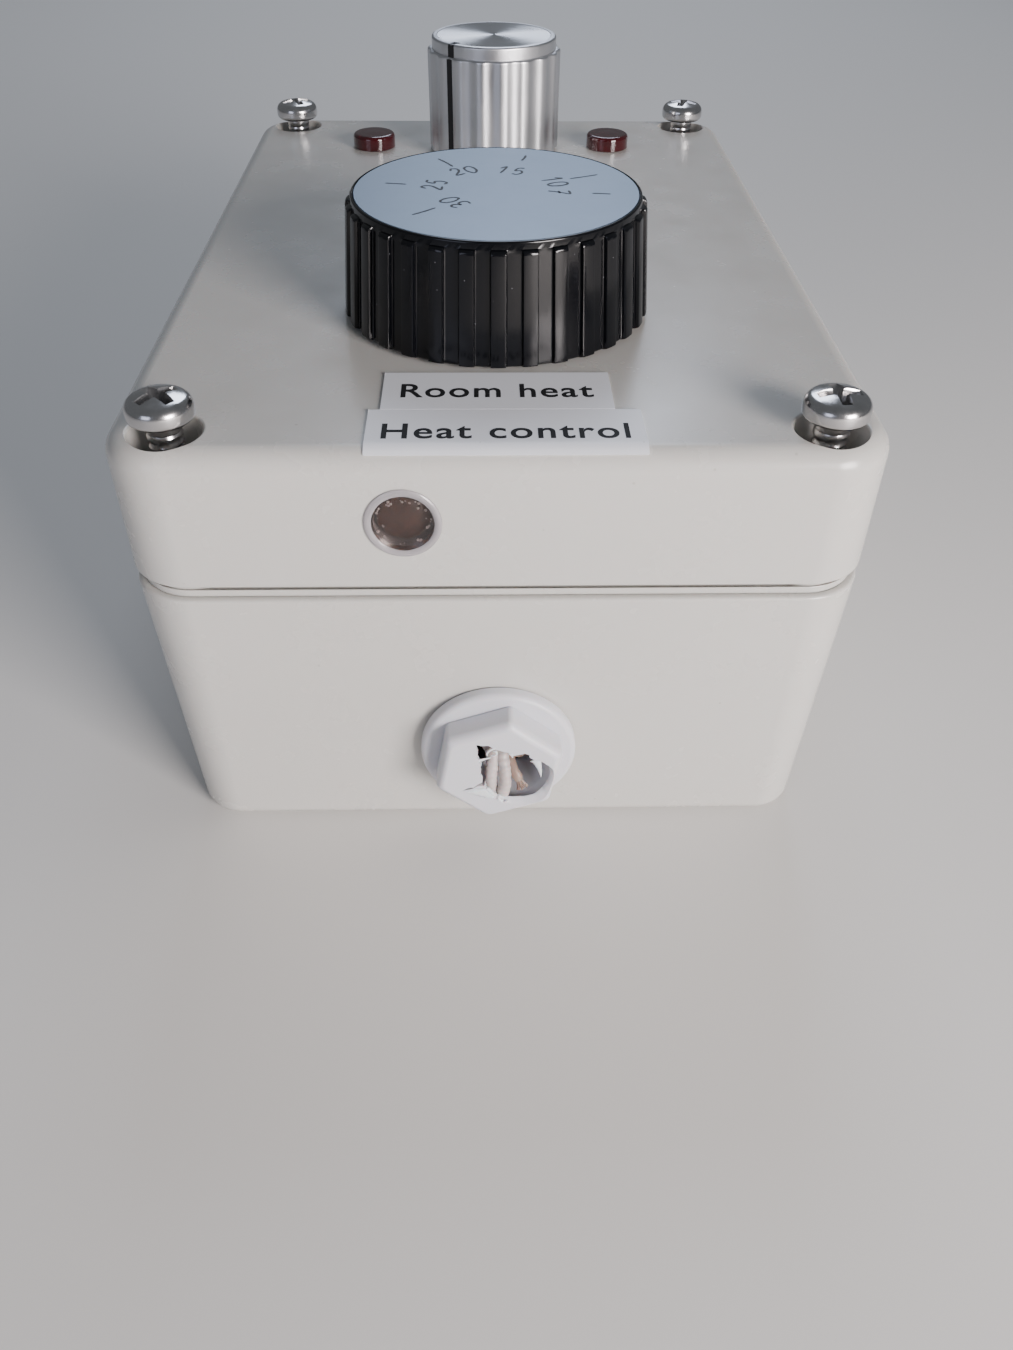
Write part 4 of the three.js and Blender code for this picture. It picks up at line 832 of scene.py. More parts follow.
def makeKnob():
    shape = knobShape
    low, high = boxOf("knob_shell")
    middle = centreOf("knob_shaft")
    bottom, top = low.z, high.z
    count = shape["flutes"] * len(fluteOutline)
    turn = math.radians(shape["lineAngle"])

    def fluteRing(z, share, inset=0.0):
        ring = []
        for i in range(count):
            flute, k = divmod(i, len(fluteOutline))
            part, depth = fluteOutline[k]
            angle = turn + 2 * math.pi * (flute + part) / shape["flutes"]
            reach = shape["band"] + (shape["crest"] - shape["flute"] * depth - shape["band"]) * share - inset
            ring.append((reach * math.cos(angle), reach * math.sin(angle), z))
        return ring

    bandLow = top - shape["bandHeight"]
    edge = shape["topRound"]
    rings = [fluteRing(bottom, 1, 0.15), fluteRing(bottom + 0.15, 1)]
    rings += [fluteRing(bandLow - 0.45, 1), fluteRing(bandLow - 0.2, 0.93), fluteRing(bandLow - 0.05, 0.65),
              fluteRing(bandLow, 0.3), fluteRing(bandLow + 0.02, 0)]
    rings += [fluteRing(z, 0, shape["band"] - r)
              for r, z in arc(shape["band"] - edge, top - edge, edge, 0, 90, 6)]
    rings += [fluteRing(top, 0, 0.8), fluteRing(top - 0.06, 0, 0.86)]
    shell = loft("knob_turning", rings)
    ceiling = top - shape["topWall"]
    inner = shape["inner"]
    hollow = spin("hollow", [(0, bottom - 1), (inner, bottom - 1), (inner, ceiling - 0.3),
                             (inner - 0.3, ceiling), (0, ceiling)], 64)
    grubZ = centreOf("knob_grub_screw").z
    grub = rod(shape["grub"], 4, 20, 24)
    grub.data.transform(Matrix.Rotation(-math.pi / 2, 4, "X"))
    moveBy(grub, 0, 0, grubZ)
    combine(shell, [hollow, grub], "DIFFERENCE")
    moveBy(shell, middle.x, middle.y, 0)
    polish(shell, 30)
    settle(shell, "level_knob", "knob_aluminium", turnedAluminium, "knob_shell")

    # the spun top is cut in fine rings, a slight dish inside a bright lip
    reach = shape["band"] - shape["lip"]
    level = top - 0.05
    profile = [(0, top - 0.3), (reach, top - 0.3), (reach, level)]
    r = reach - 0.05
    while r > 0.3:
        profile += [(r, level + 0.008), (r - shape["cutStep"] / 2, level)]
        r -= shape["cutStep"]
    profile += [(0.2, top - 0.06), (0, top - 0.06)]
    face = spin("knob_top_face", profile, 128)
    moveBy(face, middle.x, middle.y, 0)
    face.data.shade_smooth()
    settle(face, "level_knob", "knob_aluminium", facedAluminium)

    # the pointer line is inlaid, following the flute at the lower part and the band above it
    across = shape["lineWidth"] / 2
    bodyR, bandR = shape["crest"] - shape["flute"] + 0.06, shape["band"] + 0.04
    outline = [(bodyR, bottom + 0.3), (bodyR, bandLow - 0.35), (bodyR - 0.15, bandLow - 0.1),
               (bandR, bandLow + 0.05), (bandR, top - 0.35), (bandR - 0.12, top - 0.12),
               (bandR - 0.35, top), (bandR - 1.6, top)]
    inner = [(bodyR - 0.7, bottom + 0.3), (bodyR - 0.7, bandLow - 0.5), (bodyR - 0.8, bandLow - 0.3),
             (bandR - 0.5, bandLow - 0.2), (bandR - 0.5, top - 0.6), (bandR - 0.55, top - 0.5),
             (bandR - 0.7, top - 0.4), (bandR - 1.6, top - 0.35)]
    points, faces = [], []
    for side in (-across, across):
        points += [(r, side, z) for r, z in outline] + [(r, side, z) for r, z in inner]
    n = len(outline)
    for i in range(n - 1):
        faces += [(i, i + 1, 2 * n + i + 1, 2 * n + i), (n + i, 3 * n + i, 3 * n + i + 1, n + i + 1),
                  (i, n + i, n + i + 1, i + 1), (2 * n + i, 2 * n + i + 1, 3 * n + i + 1, 3 * n + i)]
    faces += [(0, 2 * n, 3 * n, n), (n - 1, 2 * n - 1, 4 * n - 1, 3 * n - 1)]
    line = newPiece("knob_pointer_line", points, faces)
    reshape(line, facesOut)
    line.data.transform(Matrix.Rotation(turn, 4, "Z"))
    moveBy(line, middle.x, middle.y, 0)
    settle(line, "level_knob", "knob_black", printInk)


makeKnob()
print("knob done")


# lamps

lampShape = {"radius": 3.5, "stem": 2.9, "rim": 1.65, "dome": 0.55, "bore": 2.1}


def makeLamp(side):
    shape = lampShape
    low, high = boxOf(f"lamp_lens_{side}")
    middle = centreOf(f"lamp_lens_{side}")
    seat = high.z - shape["rim"] - shape["dome"]
    radius = shape["radius"]
    flat = high.z - 0.06
    profile = [(shape["bore"], low.z), (shape["stem"], low.z), (shape["stem"], seat), (radius - 0.12, seat),
               (radius, seat + 0.12)]
    profile += arc(radius - shape["dome"], seat + shape["rim"], shape["dome"], 0, 82, 7)
    profile += [(2.2, flat + 0.015), (1.5, flat + 0.035), (0.8, flat + 0.052), (0, high.z)]
    profile += [(0, seat + 0.9), (shape["bore"] * 0.6, seat + 0.8), (shape["bore"], seat + 0.45),
                (shape["bore"], low.z)]
    lens = spin(f"lamp_cap_{side}", profile, 64)
    moveBy(lens, middle.x, middle.y, 0)
    polish(lens, 40)
    settle(lens, "lid", "lens_red", acrylicRed, f"lamp_lens_{side}")


makeLamp("left")
makeLamp("right")
print("lamps done")


# labels

labelShape = {"thickness": 0.12, "lift": 0.04, "letterFilm": 0.012, "length": 8.5, "corner": 0.15,
              "curl": 0.05, "letterSink": 0.03, "fontCapital": 0.73}
labelText = {        # words, cap height, width across, centre from the strip's back edge
    "label_upper": ("Room heat", 3.2, 20.8, 4.2),
    "label_lower": ("Heat control", 3.2, 25.4, 4.5),
}


def labelPath(distance, offset):        # Y and Z at a distance along the lid's top, wrapped over its edge
    bend = boxShape["lidRound"]
    flatEnd = -halfLength + bend
    if distance >= flatEnd:
        return distance, lidTop + offset
    angle = (flatEnd - distance) / bend
    return flatEnd - (bend + offset) * math.sin(angle), lidTop - bend + (bend + offset) * math.cos(angle)


def makeLabel(node):
    shape = labelShape
    low, high = boxOf(node)
    back = high.y
    front = back - shape["length"]
    steps = 24
    corner = shape["corner"]
    points, faces = [], []
    columns = [low.x, low.x + corner, high.x - corner, high.x]
    for offset in (shape["lift"], shape["lift"] + shape["thickness"]):
        for i in range(steps + 1):
            along = back + (front - back) * i / steps
            for j, x in enumerate(columns):
                trim = corner * 0.5 if j in (0, 3) and i in (0, steps) else 0
                y, z = labelPath(along + (-trim if i == 0 else trim), offset)
                lifted = i < 2 and j == 0 and offset > shape["lift"]        # one corner stands up a little
                curl = shape["curl"] * lifted
                points.append((x, y, z + curl))
    width = len(columns)
    layer = (steps + 1) * width
    for i in range(steps):
        for j in range(width - 1):
            a = i * width + j
            faces.append((a, a + 1, a + 1 + width, a + width))
            faces.append(tuple(layer + k for k in (a, a + width, a + 1 + width, a + 1)))
        for j in (0, width - 1):
            a = i * width + j
            faces.append((a, a + width, layer + a + width, layer + a))
    for i in (0, steps):
        for j in range(width - 1):
            a = i * width + j
            faces.append((a, a + 1, layer + a + 1, layer + a))
    tape = newPiece(node + "_tape", points, faces)
    reshape(tape, facesOut)
    polish(tape, 30)
    settle(tape, "lid", "tape_white", vinylTape, node)

    words, capHeight, wanted, middle = labelText[node]
    curve = bpy.data.curves.new(node + "_words", "FONT")
    curve.body = words
    curve.size = 1
    curve.resolution_u = 6
    curve.space_character = 1.12
    curve.offset = 0.015
    curve.extrude = 0.5
    curve.align_x = "CENTER"
    source = bpy.data.objects.new(node + "_words", curve)
    bpy.context.scene.collection.objects.link(source)
    bpy.context.view_layer.update()
    graph = bpy.context.evaluated_depsgraph_get()
    mesh = bpy.data.meshes.new_from_object(source.evaluated_get(graph))
    bpy.data.objects.remove(source)
    xs = [v.co.x for v in mesh.vertices]
    stretch = wanted / (max(xs) - min(xs))
    centreX = (max(xs) + min(xs)) / 2
    tall = capHeight / shape["fontCapital"]
    for v in mesh.vertices:
        top = v.co.z > 0
        x = (v.co.x - centreX) * stretch + (low.x + high.x) / 2
        along = back - middle + (v.co.y - shape["fontCapital"] / 2) * tall
        film = shape["letterFilm"] if top else -shape["letterSink"]
        y, z = labelPath(along, shape["lift"] + shape["thickness"] + film)
        v.co = Vector((x, y, z)) * mm
    letters = bpy.data.objects.new(node + "_letters", mesh)
    bpy.context.scene.collection.objects.link(letters)
    settle(letters, "lid", "knob_black", printInk)


makeLabel("label_upper")
makeLabel("label_lower")
print("labels done")


# sensor in the end wall

sensorShape = {"lip": 4.1, "barrel": 3.75, "bore": 3.3, "proud": 0.35, "windowSetback": 0.1, "window": 1.2,
               "bead": 2.4, "beadRadius": 3.05, "crumbs": 34, "leadApart": 2.54, "leadRadius": 0.32}


def makeSensor():
    shape = sensorShape
    low, high = boxOf("sensor_ring")
    middle = (low + high) / 2
    wall = -halfLength
    deep = high.y + halfLength        # barrel length behind the wall face
    proud = shape["proud"]
    ring = spin("sensor_bezel", [(shape["bore"], -deep), (shape["barrel"], -deep), (shape["barrel"], 0.03),
                                 (shape["lip"] - 0.03, 0.03), (shape["lip"], 0.08),
                                 (shape["lip"] - 0.05, proud * 0.6), (shape["lip"] - 0.2, proud * 0.92),
                                 (shape["lip"] - 0.38, proud), (shape["bore"] + 0.2, proud * 0.92),
                                 (shape["bore"], proud * 0.55), (shape["bore"], -deep)], 96)
    layOut(ring, middle.x, wall, middle.z)
    polish(ring, 30)
    settle(ring, "lid", "clear_plastic", clearRing, "sensor_ring")
    front = proud - shape["windowSetback"] - 0.12

    # the resin stands a little uneven in the ring
    radius = shape["bore"] - 0.04
    profile = [(0, front - shape["window"]), (radius, front - shape["window"]), (radius, front + 0.02)]
    profile += [(radius * k / 12, front - 0.08 * (1 - (k / 12) ** 4)) for k in range(11, 0, -1)]
    profile += [(0, front - 0.08)]
    window = spin("sensor_resin", profile, 96)
    for v in window.data.vertices:
        p = v.co / mm
        if p.z > front - 0.5:
            v.co.z += 0.05 * mm * noise.noise(Vector((p.x, p.y, 0)) * 0.9)
    layOut(window, middle.x, wall, middle.z)
    polish(window, 40)
    settle(window, "lid", "clear_plastic", pottingResin, "sensor_window")

    # small bubbles and crumbs trapped behind the window's edge, pale as a painted highlight
    crumbs = []
    for k in range(shape["crumbs"]):
        angle = random.uniform(0, 2 * math.pi)
        reach = (shape["bore"] - 0.3) * (0.68 + 0.32 * random.random() ** 0.6)
        size = random.uniform(0.05, 0.2)
        bulge = [(math.cos(a), math.sin(a)) for a in (-1.0, -0.5, 0.0, 0.5, 1.0)]
        crumb = spin("crumb", [(0, -1), *bulge, (0, 1)], 7)
        for v in crumb.data.vertices:
            v.co *= size * (1 + 0.35 * noise.noise(v.co * 900 + Vector((k, 0, 0))))
        moveBy(crumb, reach * math.cos(angle), reach * math.sin(angle), front - 0.32 - random.uniform(0, 0.4))
        crumbs.append(crumb)
    bubbles = joinPieces("sensor_bubbles", crumbs)
    layOut(bubbles, middle.x, wall, middle.z)
    bubbles.data.shade_smooth()
    settle(bubbles, "lid", "clear_plastic", bubbleHighlightSkin)

    back = front - shape["window"] - 0.05
    half = shape["bead"] / 2
    profile = [(0, back - shape["bead"])]
    turns = [math.radians(degrees) for degrees in range(-80, 85, 10)]
    profile += [(shape["beadRadius"] * math.cos(a), back - half + half * math.sin(a)) for a in turns]
    profile += [(0, back)]
    bead = spin("sensor_pill", profile, 64)
    layOut(bead, middle.x, wall, middle.z)
    boardLow, boardHigh = boxOf("circuit_board")
    boardFront, boardTop = boardLow.y, boardHigh.z
    leads = []
    for side in (-shape["leadApart"] / 2, shape["leadApart"] / 2):
        route = smoothRoute([(middle.x + side, wall - back + shape["bead"] - 0.6, middle.z),
                             (middle.x + side, wall - back + shape["bead"] + 3, middle.z - 0.3),
                             (middle.x + side, boardFront + 1.5, middle.z - 2.5),
                             (middle.x + side, boardFront + 3, boardTop + 0.1)], 8)
        leads.append(tube("lead", route, shape["leadRadius"], 10))
    bead = joinPieces("sensor_pill", [bead, *leads])
    polish(bead, 40)
    settle(bead, "lid", "sensor_brown", ceramicBrown, "sensor_bead")


def bubbleHighlightLook():        # pale grains, a painted highlight for the glints of bubbles against the brown pill
    material, shader, place = startMaterial("epoxyBubblesPaintedHighlight", "#d9c8c4", 0.12, {"IOR": 1.4, "Coat Weight": 0.5})
    grain = addNode(material, "ShaderNodeTexNoise", {"Scale": 1 / 0.15, "Detail": 3.0}, {"Vector": place})
    tint(material, shader, grain.outputs["Fac"], "#a89996", "#efe6e4")
    return material


bubbleHighlightSkin = bubbleHighlightLook()
makeSensor()
print("sensor done")


# cable gland

glandShape = {"flange": 9.5, "flangeThick": 1.8, "flangeRound": 0.75, "collar": 6.4, "collarLength": 1.7,
              "spigot": 6.0, "bore": 4.7, "throat": 5.8, "capCorner": 8.2, "capTwist": -10,
              "cornerRound": 0.8, "capRound": 1.1, "hollow": 6.25, "frontWall": 0.6, "cut": 0.05,
              "threadPitch": 0.8, "nutCorner": 9.6, "sealBore": 2.9, "sealRadius": 4.6}


def hexRing(corner, rounding, z, turn, steps=5):
    apothem = corner * math.cos(math.pi / 6)
    ring = []
    inner = (apothem - rounding) / math.cos(math.pi / 6)
    for k in range(6):
        heading = turn + k * math.pi / 3
        cx, cy = inner * math.cos(heading), inner * math.sin(heading)
        for i in range(steps + 1):
            a = heading + (i / steps - 0.5) * math.pi / 3
            ring.append((cx + rounding * math.cos(a), cy + rounding * math.sin(a), z))
    return ring


# where the cap's front is broken through, as (x, z) about the gland's axis; the smooth run is at lower right
breachTorn = ((-1.5, -2.7), (-1.65, -1.8), (-2.05, -1.6), (-2.0, -0.9), (-2.3, -0.3), (-2.15, 0.3),
              (-2.35, 0.9),
              (-2.1, 1.5), (-2.45, 2.1), (-2.45, 2.35), (-2.6, 2.9), (-2.5, 3.5), (-2.65, 4.1),
              (-2.68, 5.0), (-2.0, 4.8), (-1.3, 4.85),
              (-0.45, 4.25), (0.2, 3.95), (1.2, 3.55), (1.45, 3.15), (1.6, 2.9), (1.9, 3.1), (2.5, 3.35),
              (3.1, 3.45), (3.5, 3.35), (3.65, 2.95), (3.9, 2.6), (4.4, 2.2), (5.1, 2.1), (5.5, 1.75))
breachSmooth = ((5.8, 1.4), (6.3, 0.6), (6.55, -0.4), (6.6, -1.4), (6.4, -2.5), (5.8, -3.7), (4.7, -4.6),
                (3.2, -5.05), (1.6, -5.0), (0.6, -4.8))
breachLower = ((0.4, -4.7), (0.1, -4.25), (-0.3, -4.3), (-0.7, -3.9), (-0.85, -3.3))
crackLine = ((-1.7, -1.7), (-2.05, -1.72), (-2.39, -1.8), (-2.75, -2.05), (-3.12, -2.4), (-3.6, -2.5),
             (-4.11, -2.68), (-4.45, -2.95))
crackWidths = (0.8, 0.62, 0.5, 0.28, 0.16, 0.42, 0.24, 0.03)


def frayed(points, rough, step=0.16):        # the run of points in small steps, with noise across it
    line = []
    for a, b in zip(points, points[1:]):
        a, b = Vector(a), Vector(b)
        across = Vector((-(b - a).y, (b - a).x)).normalized()
        count = max(1, round((b - a).length / step))
        for k in range(count):
            spot = a + (b - a) * k / count
            line.append(spot + across * rough * noise.noise(Vector((spot.x, spot.y, 0)) * 3.1))
    return line


def prism(name, levels):        # closed solid through equal outlines, each with its height
    rings = [[(p.x, p.y, z) for p in outline] for outline, z in levels]
    return loft(name, rings)


def sliver(route, widths, slim=0.11):        # a thin torn strip along a route
    path = smoothRoute(route, 6)
    rings = []
    for i, point in enumerate(path):
        t = i / (len(path) - 1) * (len(widths) - 1)
        k = min(int(t), len(widths) - 2)
        wide = widths[k] + (widths[k + 1] - widths[k]) * (t - k)
        ahead = (path[min(i + 1, len(path) - 1)] - path[max(i - 1, 0)]).normalized()
        side = ahead.cross(Vector((0, 0, 1)))
        side = side.normalized() if side.length > 0.05 else Vector((1, 0, 0))
        up = side.cross(ahead).normalized()
        half = wide / 2 * (1 + 0.25 * noise.noise(point * 3))
        rings.append([point + side * half * c + up * slim * s for c, s in
                      ((1, 0), (0.7, 0.8), (0, 1), (-0.7, 0.8), (-1, 0), (-0.7, -0.8), (0, -1), (0.7, -0.8))])
    return loft("sliver", rings)


def makeGland():
    shape = glandShape
    low, high = boxOf("gland_body")
    middle = (low + high) / 2
    capFront = boxOf("gland_cap")[0].y
    wall = low.y + shape["flangeThick"] + shape["collarLength"] + 0.02
    spigotEnd = wall - high.y
    thick = shape["flangeThick"] + 0.02
    flangeEdge = shape["flangeRound"]

    def place(piece):
        return layOut(piece, middle.x, wall, middle.z)

    profile = [(shape["bore"], spigotEnd), (shape["spigot"] - 0.3, spigotEnd)]
    z = spigotEnd + 0.4
    while z < -0.8:        # thread crests on the spigot
        root = shape["spigot"] - 0.45
        profile += [(root, z), (shape["spigot"], z + 0.35), (root, z + 0.7)]
        z += shape["threadPitch"]
    profile += [(shape["spigot"] - 0.3, 0.02), (shape["flange"] - 0.25, 0.02), (shape["flange"], 0.25)]
    profile += arc(shape["flange"] - flangeEdge, thick - flangeEdge, flangeEdge, 0, 90, 8)
    profile += [(shape["collar"] + 0.4, thick), (shape["collar"], thick + 0.3),
                (shape["collar"], thick + shape["collarLength"] - 0.2),
                (shape["collar"] - 0.2, thick + shape["collarLength"]),
                (shape["throat"] + 0.12, thick + shape["collarLength"]),
                (shape["throat"], thick + shape["collarLength"] - 0.12), (shape["bore"], 0.05),
                (shape["bore"], spigotEnd)]
    body = place(spin("gland_collar", profile, 128))
    polish(body, 35)
    settle(body, "base", "gland_plastic", polyamideGland, "gland_body")

    back = thick + 0.02
    front = wall - capFront - 0.1
    turn = math.radians(90 + shape["capTwist"])
    rounding = shape["cornerRound"]
    rings = [hexRing(shape["capCorner"] - 0.12, rounding, back, turn),
             hexRing(shape["capCorner"], rounding, back + 0.12, turn)]
    edge = shape["capRound"]
    for reach, z in arc(0, front - edge, edge, 0, 84, 7):
        inset = edge - reach
        rings.append(hexRing(shape["capCorner"] - inset * 1.1, rounding + inset * 0.5, z, turn))
    cap = loft("gland_nut", rings)
    inner = front - shape["frontWall"]
    hollow = shape["hollow"]
    room = spin("room", [(0, back - 1), (shape["collar"] + shape["cut"], back - 1),
                         (shape["collar"] + shape["cut"], thick + shape["collarLength"] + 0.02),
                         (shape["throat"] + 0.05, thick + shape["collarLength"] + 0.02),
                         *arc(hollow - 0.4, inner - 0.4, 0.4, 0, 90, 5), (0, inner)], 96)
    outline = frayed(breachTorn + breachSmooth[:1], 0.1)
    outline += frayed(breachSmooth + breachLower[:1], 0.0, 0.3)
    outline += frayed(breachLower + breachTorn[:1], 0.12)
    centre = Vector((2.3, -0.9))

    def flared(amount):        # wider towards the smooth side, where the edge is rounded over
        ring = []
        for p in outline:
            away = (p - centre).normalized()
            share = max(0.0, away.dot(Vector((0.62, -0.78)))) ** 0.6
            ring.append(p + away * amount * (0.06 + share))
        return ring

    levels = ((-0.85, inner - 0.5), (-0.4, front - 0.5), (-0.1, front - 0.34), (0.2, front - 0.16),
              (0.42, front - 0.02), (0.5, front + 0.3))
    breach = prism("breach", [(flared(amount), z) for amount, z in levels])
    sides = []
    for offset in (1, -1):
        sides.append([Vector(spot) + Vector((0.25, 0.95)) * wide / 2 * offset
                      for spot, wide in zip(crackLine, crackWidths)])
    crackRing = sides[0] + sides[1][::-1]
    crack = prism("crack", [(crackRing, inner - 0.5), (crackRing, front + 0.3)])
    combine(cap, [room, breach, crack], "DIFFERENCE")
    place(cap)
    polish(cap, 32)
    settle(cap, "base", "gland_plastic", polyamideGland, "gland_cap")

    # strips of the front that stayed on at one end, made bright by a painted highlight in their whiter
    # plastic: route from the root, widths
    level = front - 0.17
    strips = [
        sliver([(4.35, 2.35, 0.0), (4.6, 1.8, 0.06), (4.85, 0.9, 0.08), (5.02, 0.0, 0.05),
                (5.1, -0.75, -0.05)], (1.4, 1.0, 0.6, 0.3, 0.05)),
        sliver([(1.35, 3.75, 0.0), (1.5, 3.25, 0.08), (1.62, 2.75, 0.0)], (0.8, 0.5, 0.12)),
        sliver([(-2.55, 2.15, 0.0), (-2.0, 2.3, -0.05), (-1.5, 2.28, -0.25), (-0.95, 2.12, -0.6)],
               (0.5, 0.34, 0.26, 0.08), 0.08),
        sliver([(-0.15, 4.3, 0.0), (-0.6, 4.3, 0.12), (-1.15, 4.0, 0.14), (-1.42, 3.5, 0.1),
                (-1.35, 3.05, 0.0)], (0.2, 0.26, 0.3, 0.28, 0.1), 0.08),
        sliver([(-1.0, 3.1, 0.02), (-0.62, 3.15, 0.1), (-0.3, 3.45, 0.14), (-0.38, 3.8, 0.1),
                (-0.7, 3.82, 0.0)], (0.1, 0.24, 0.28, 0.24, 0.1), 0.08),
        sliver([(-1.5, -2.6, 0.02), (-1.15, -3.1, 0.1), (-0.8, -3.5, 0.12), (-0.5, -3.95, 0.0)],
               (0.5, 0.75, 0.55, 0.2)),
        sliver([(-3.9, -3.15, 0.06), (-3.0, -3.1, 0.14), (-2.1, -3.2, 0.16), (-1.3, -3.7, 0.15),
                (-0.7, -4.3, 0.05)], (0.5, 1.1, 1.4, 1.2, 0.3), 0.1),
        sliver([(0.3, -4.95, 0.0), (0.05, -4.6, 0.12), (-0.15, -4.35, 0.05)], (0.8, 0.5, 0.14)),
        sliver([(0.75, -5.05, 0.05), (0.95, -4.85, 0.14), (1.2, -4.85, 0.1)], (0.5, 0.4, 0.12)),
    ]
    for strip in strips:
        moveBy(strip, 0, 0, level)
    flap = joinPieces("gland_slivers", strips)
    place(flap)
    flap.data.shade_smooth()
    settle(flap, "base", "gland_plastic", polyamideTornPaintedHighlight)

    nutLow, nutHigh = boxOf("gland_locknut")
    nutBack, nutFront = wall - nutHigh.y, wall - nutLow.y
    wide, eased = shape["nutCorner"], shape["nutCorner"] - 0.15
    nutRings = [hexRing(corner, 0.4, z, turn) for corner, z in
                ((eased, nutBack), (wide, nutBack + 0.3), (wide, nutFront - 0.3), (eased, nutFront))]
    locknut = loft("gland_backnut", nutRings)
    combine(locknut, [rod(shape["spigot"] + 0.1, nutBack - 1, nutFront + 1, 64)], "DIFFERENCE")
    place(locknut)
    polish(locknut, 30)
    settle(locknut, "base", "gland_plastic", polyamideGland, "gland_locknut")

    sealLow, sealHigh = boxOf("gland_seal")
    a, b = wall - sealHigh.y, wall - sealLow.y
    bore, rim = shape["sealBore"], shape["sealRadius"]
    seal = spin("gland_bush", [(bore, a + 0.2), (bore + 0.2, a), (rim - 0.2, a), (rim, a + 0.2),
                               (rim, b - 0.2), (rim - 0.2, b), (bore + 0.2, b), (bore, b - 0.2),
                               (bore, a + 0.2)], 64)
    place(seal)
    polish(seal, 35)
    settle(seal, "base", "seal_rubber", rubberSeal, "gland_seal")
    return middle, wall


tornHighlightLooks = dict(glandLooks, colour="#ececee", shade="#dcdde0", roughness=0.5, grain=0.18, bump=0.35,
                 depth=0.25)
polyamideTornPaintedHighlight = polymer("polyamideTornPaintedHighlight", tornHighlightLooks)        # whiter copy of the gland plastic, a painted highlight on the torn strips
glandCentre, glandWall = makeGland()
print("gland done")


# wire cores, cut off in the gland's mouth

coreShape = {"radius": 0.74, "tanRadius": 0.6, "spread": 1.6, "terminal": 5.08, "entryRise": 3.2,
             "strip": 0.62}


def makeCores():
    shape = coreShape
    cx, cz = glandCentre.x, glandCentre.z
    terminalLow = boxOf("terminal_block")[0]
    entryZ = terminalLow.z + shape["entryRise"]
    frontY = terminalLow.y
    inner = boxOf("gland_body")[1].y
    plans = {
        "wire_core_left": (-shape["spread"], -1, [
            (-0.72, -3.7, -4.75), (-0.9, -3.7, -3.9), (-0.98, -3.6, -2.6), (-0.86, -3.1, -1.0),
            (-0.75, -2.2, 0.4), (-1.0, -1.2, 0.6)]),
        "wire_core_middle": (0, 0, [
            (0.35, -4.15, -4.85), (0.62, -4.15, -3.9), (0.84, -3.9, -2.6), (0.7, -3.2, -1.0),
            (0.5, -2.2, 0.3), (0.3, -1.2, 0.4)]),
        "wire_core_right": (shape["spread"], 1, [
            (2.55, -4.0, -2.55), (2.2, -3.6, -1.9), (1.75, -3.0, -1.2), (1.4, -1.7, -0.3)]),
    }
    for node, (offset, entry, mouth) in plans.items():
        entryX = entry * shape["terminal"]
        route = [(cx + x, glandWall + y, cz + z) for x, y, z in mouth]
        route += [(cx + offset, glandWall + 1, cz + 0.1), (cx + offset, inner - 3, cz),
                  (cx + offset * 1.4, inner + 4, cz - 1), (entryX * 0.8, frontY - 6, cz + 2),
                  (entryX, frontY - 4.5, entryZ - 3.5), (entryX, frontY - 2.2, entryZ),
                  (entryX, frontY + 1.5, entryZ)]
        path = smoothRoute(route, 9)
        tan = node == "wire_core_right"
        if tan:
            taper = lambda t: 0.72 + 0.28 * min(1, t * 14)
        else:
            taper = lambda t: (0.82 + 0.25 * min(1, t * 22)) * (1 + 0.06 * math.sin(t * 160))
        radius = shape["tanRadius"] if tan else shape["radius"]
        core = tube(node + "_sleeve", path, radius, 20, taper)
        for v in core.data.vertices:        # soft kinks near the cut end
            p = v.co / mm
            if p.y < glandWall:
                sway = Vector((noise.noise(p * 0.8), 0, noise.noise(p * 0.8 + Vector((5, 0, 0)))))
                v.co += sway * 0.14 * mm
        parts = [core]
        ahead = (path[0] - path[1]).normalized()
        side = ahead.orthogonal().normalized()
        up = ahead.cross(side)
        count, reach, size = (20, 1.05, 0.11) if tan else (5, 0.35, 0.12)
        for k in range(count):        # short strands and shreds at the cut
            angle = 2.4 * k
            out = (side * math.cos(angle) + up * math.sin(angle)) * radius
            share = (0.25 + 0.75 * (k / count) ** 0.5) if tan else 0.6
            start = path[0] - ahead * 0.5 + out * 0.5 * share
            bend = path[0] + ahead * reach * 0.4 + out * 0.85 * share
            end = path[0] + ahead * reach * random.uniform(0.9, 1.0) + out * (1.35 if tan else 0.8) * share
            parts.append(tube("strand", smoothRoute([start, bend, end], 5), size, 7, lambda t: 1 - 0.2 * t))
        if tan:        # a slit strip of the outer sheath, bent away to the right
            strip = [(cx + x, glandWall + y, cz + z) for x, y, z in
                     ((0.2, -2.3, 2.7), (1.0, -2.7, 2.0), (1.9, -2.6, 1.0), (2.7, -2.0, 0.1),
                      (3.1, -1.0, -0.4))]
            parts.append(tube("strip", smoothRoute(strip, 8), shape["strip"], 14, lambda t: 1 - 0.5 * t))
        sleeve = joinPieces(node + "_sleeve", parts)
        polish(sleeve, 50)
        sleeve.data.materials.clear()
        sleeve.data.materials.append(pvcTanShaded if tan else pvcCoreShaded)
        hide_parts(node)
        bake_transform(sleeve)


makeCores()
print("wire cores done")


# parts inside the box keep their solids, with softened edges and their own finishes

def boardLook():        # brown phenolic laminate with faint fibres
    material, shader, place = startMaterial("phenolicPaperLaminated", "#b88a4c", 0.45)
    stretch = addNode(material, "ShaderNodeVectorMath", {"operation": "MULTIPLY", 1: (0.15, 2.2, 1.0)},
                      {0: place})
    fibres = addNode(material, "ShaderNodeTexNoise", {"Scale": 1.0, "Detail": 5.0},
                     {"Vector": stretch.outputs[0]})
    tint(material, shader, fibres.outputs["Fac"], "#98703a", "#c79a5c")
    bump = addNode(material, "ShaderNodeBump", {"Strength": 0.2, "Distance": 0.00003},
                   {"Height": fibres.outputs["Fac"]})
    connect(material, bump.outputs[0], shader.inputs["Normal"])
    return material


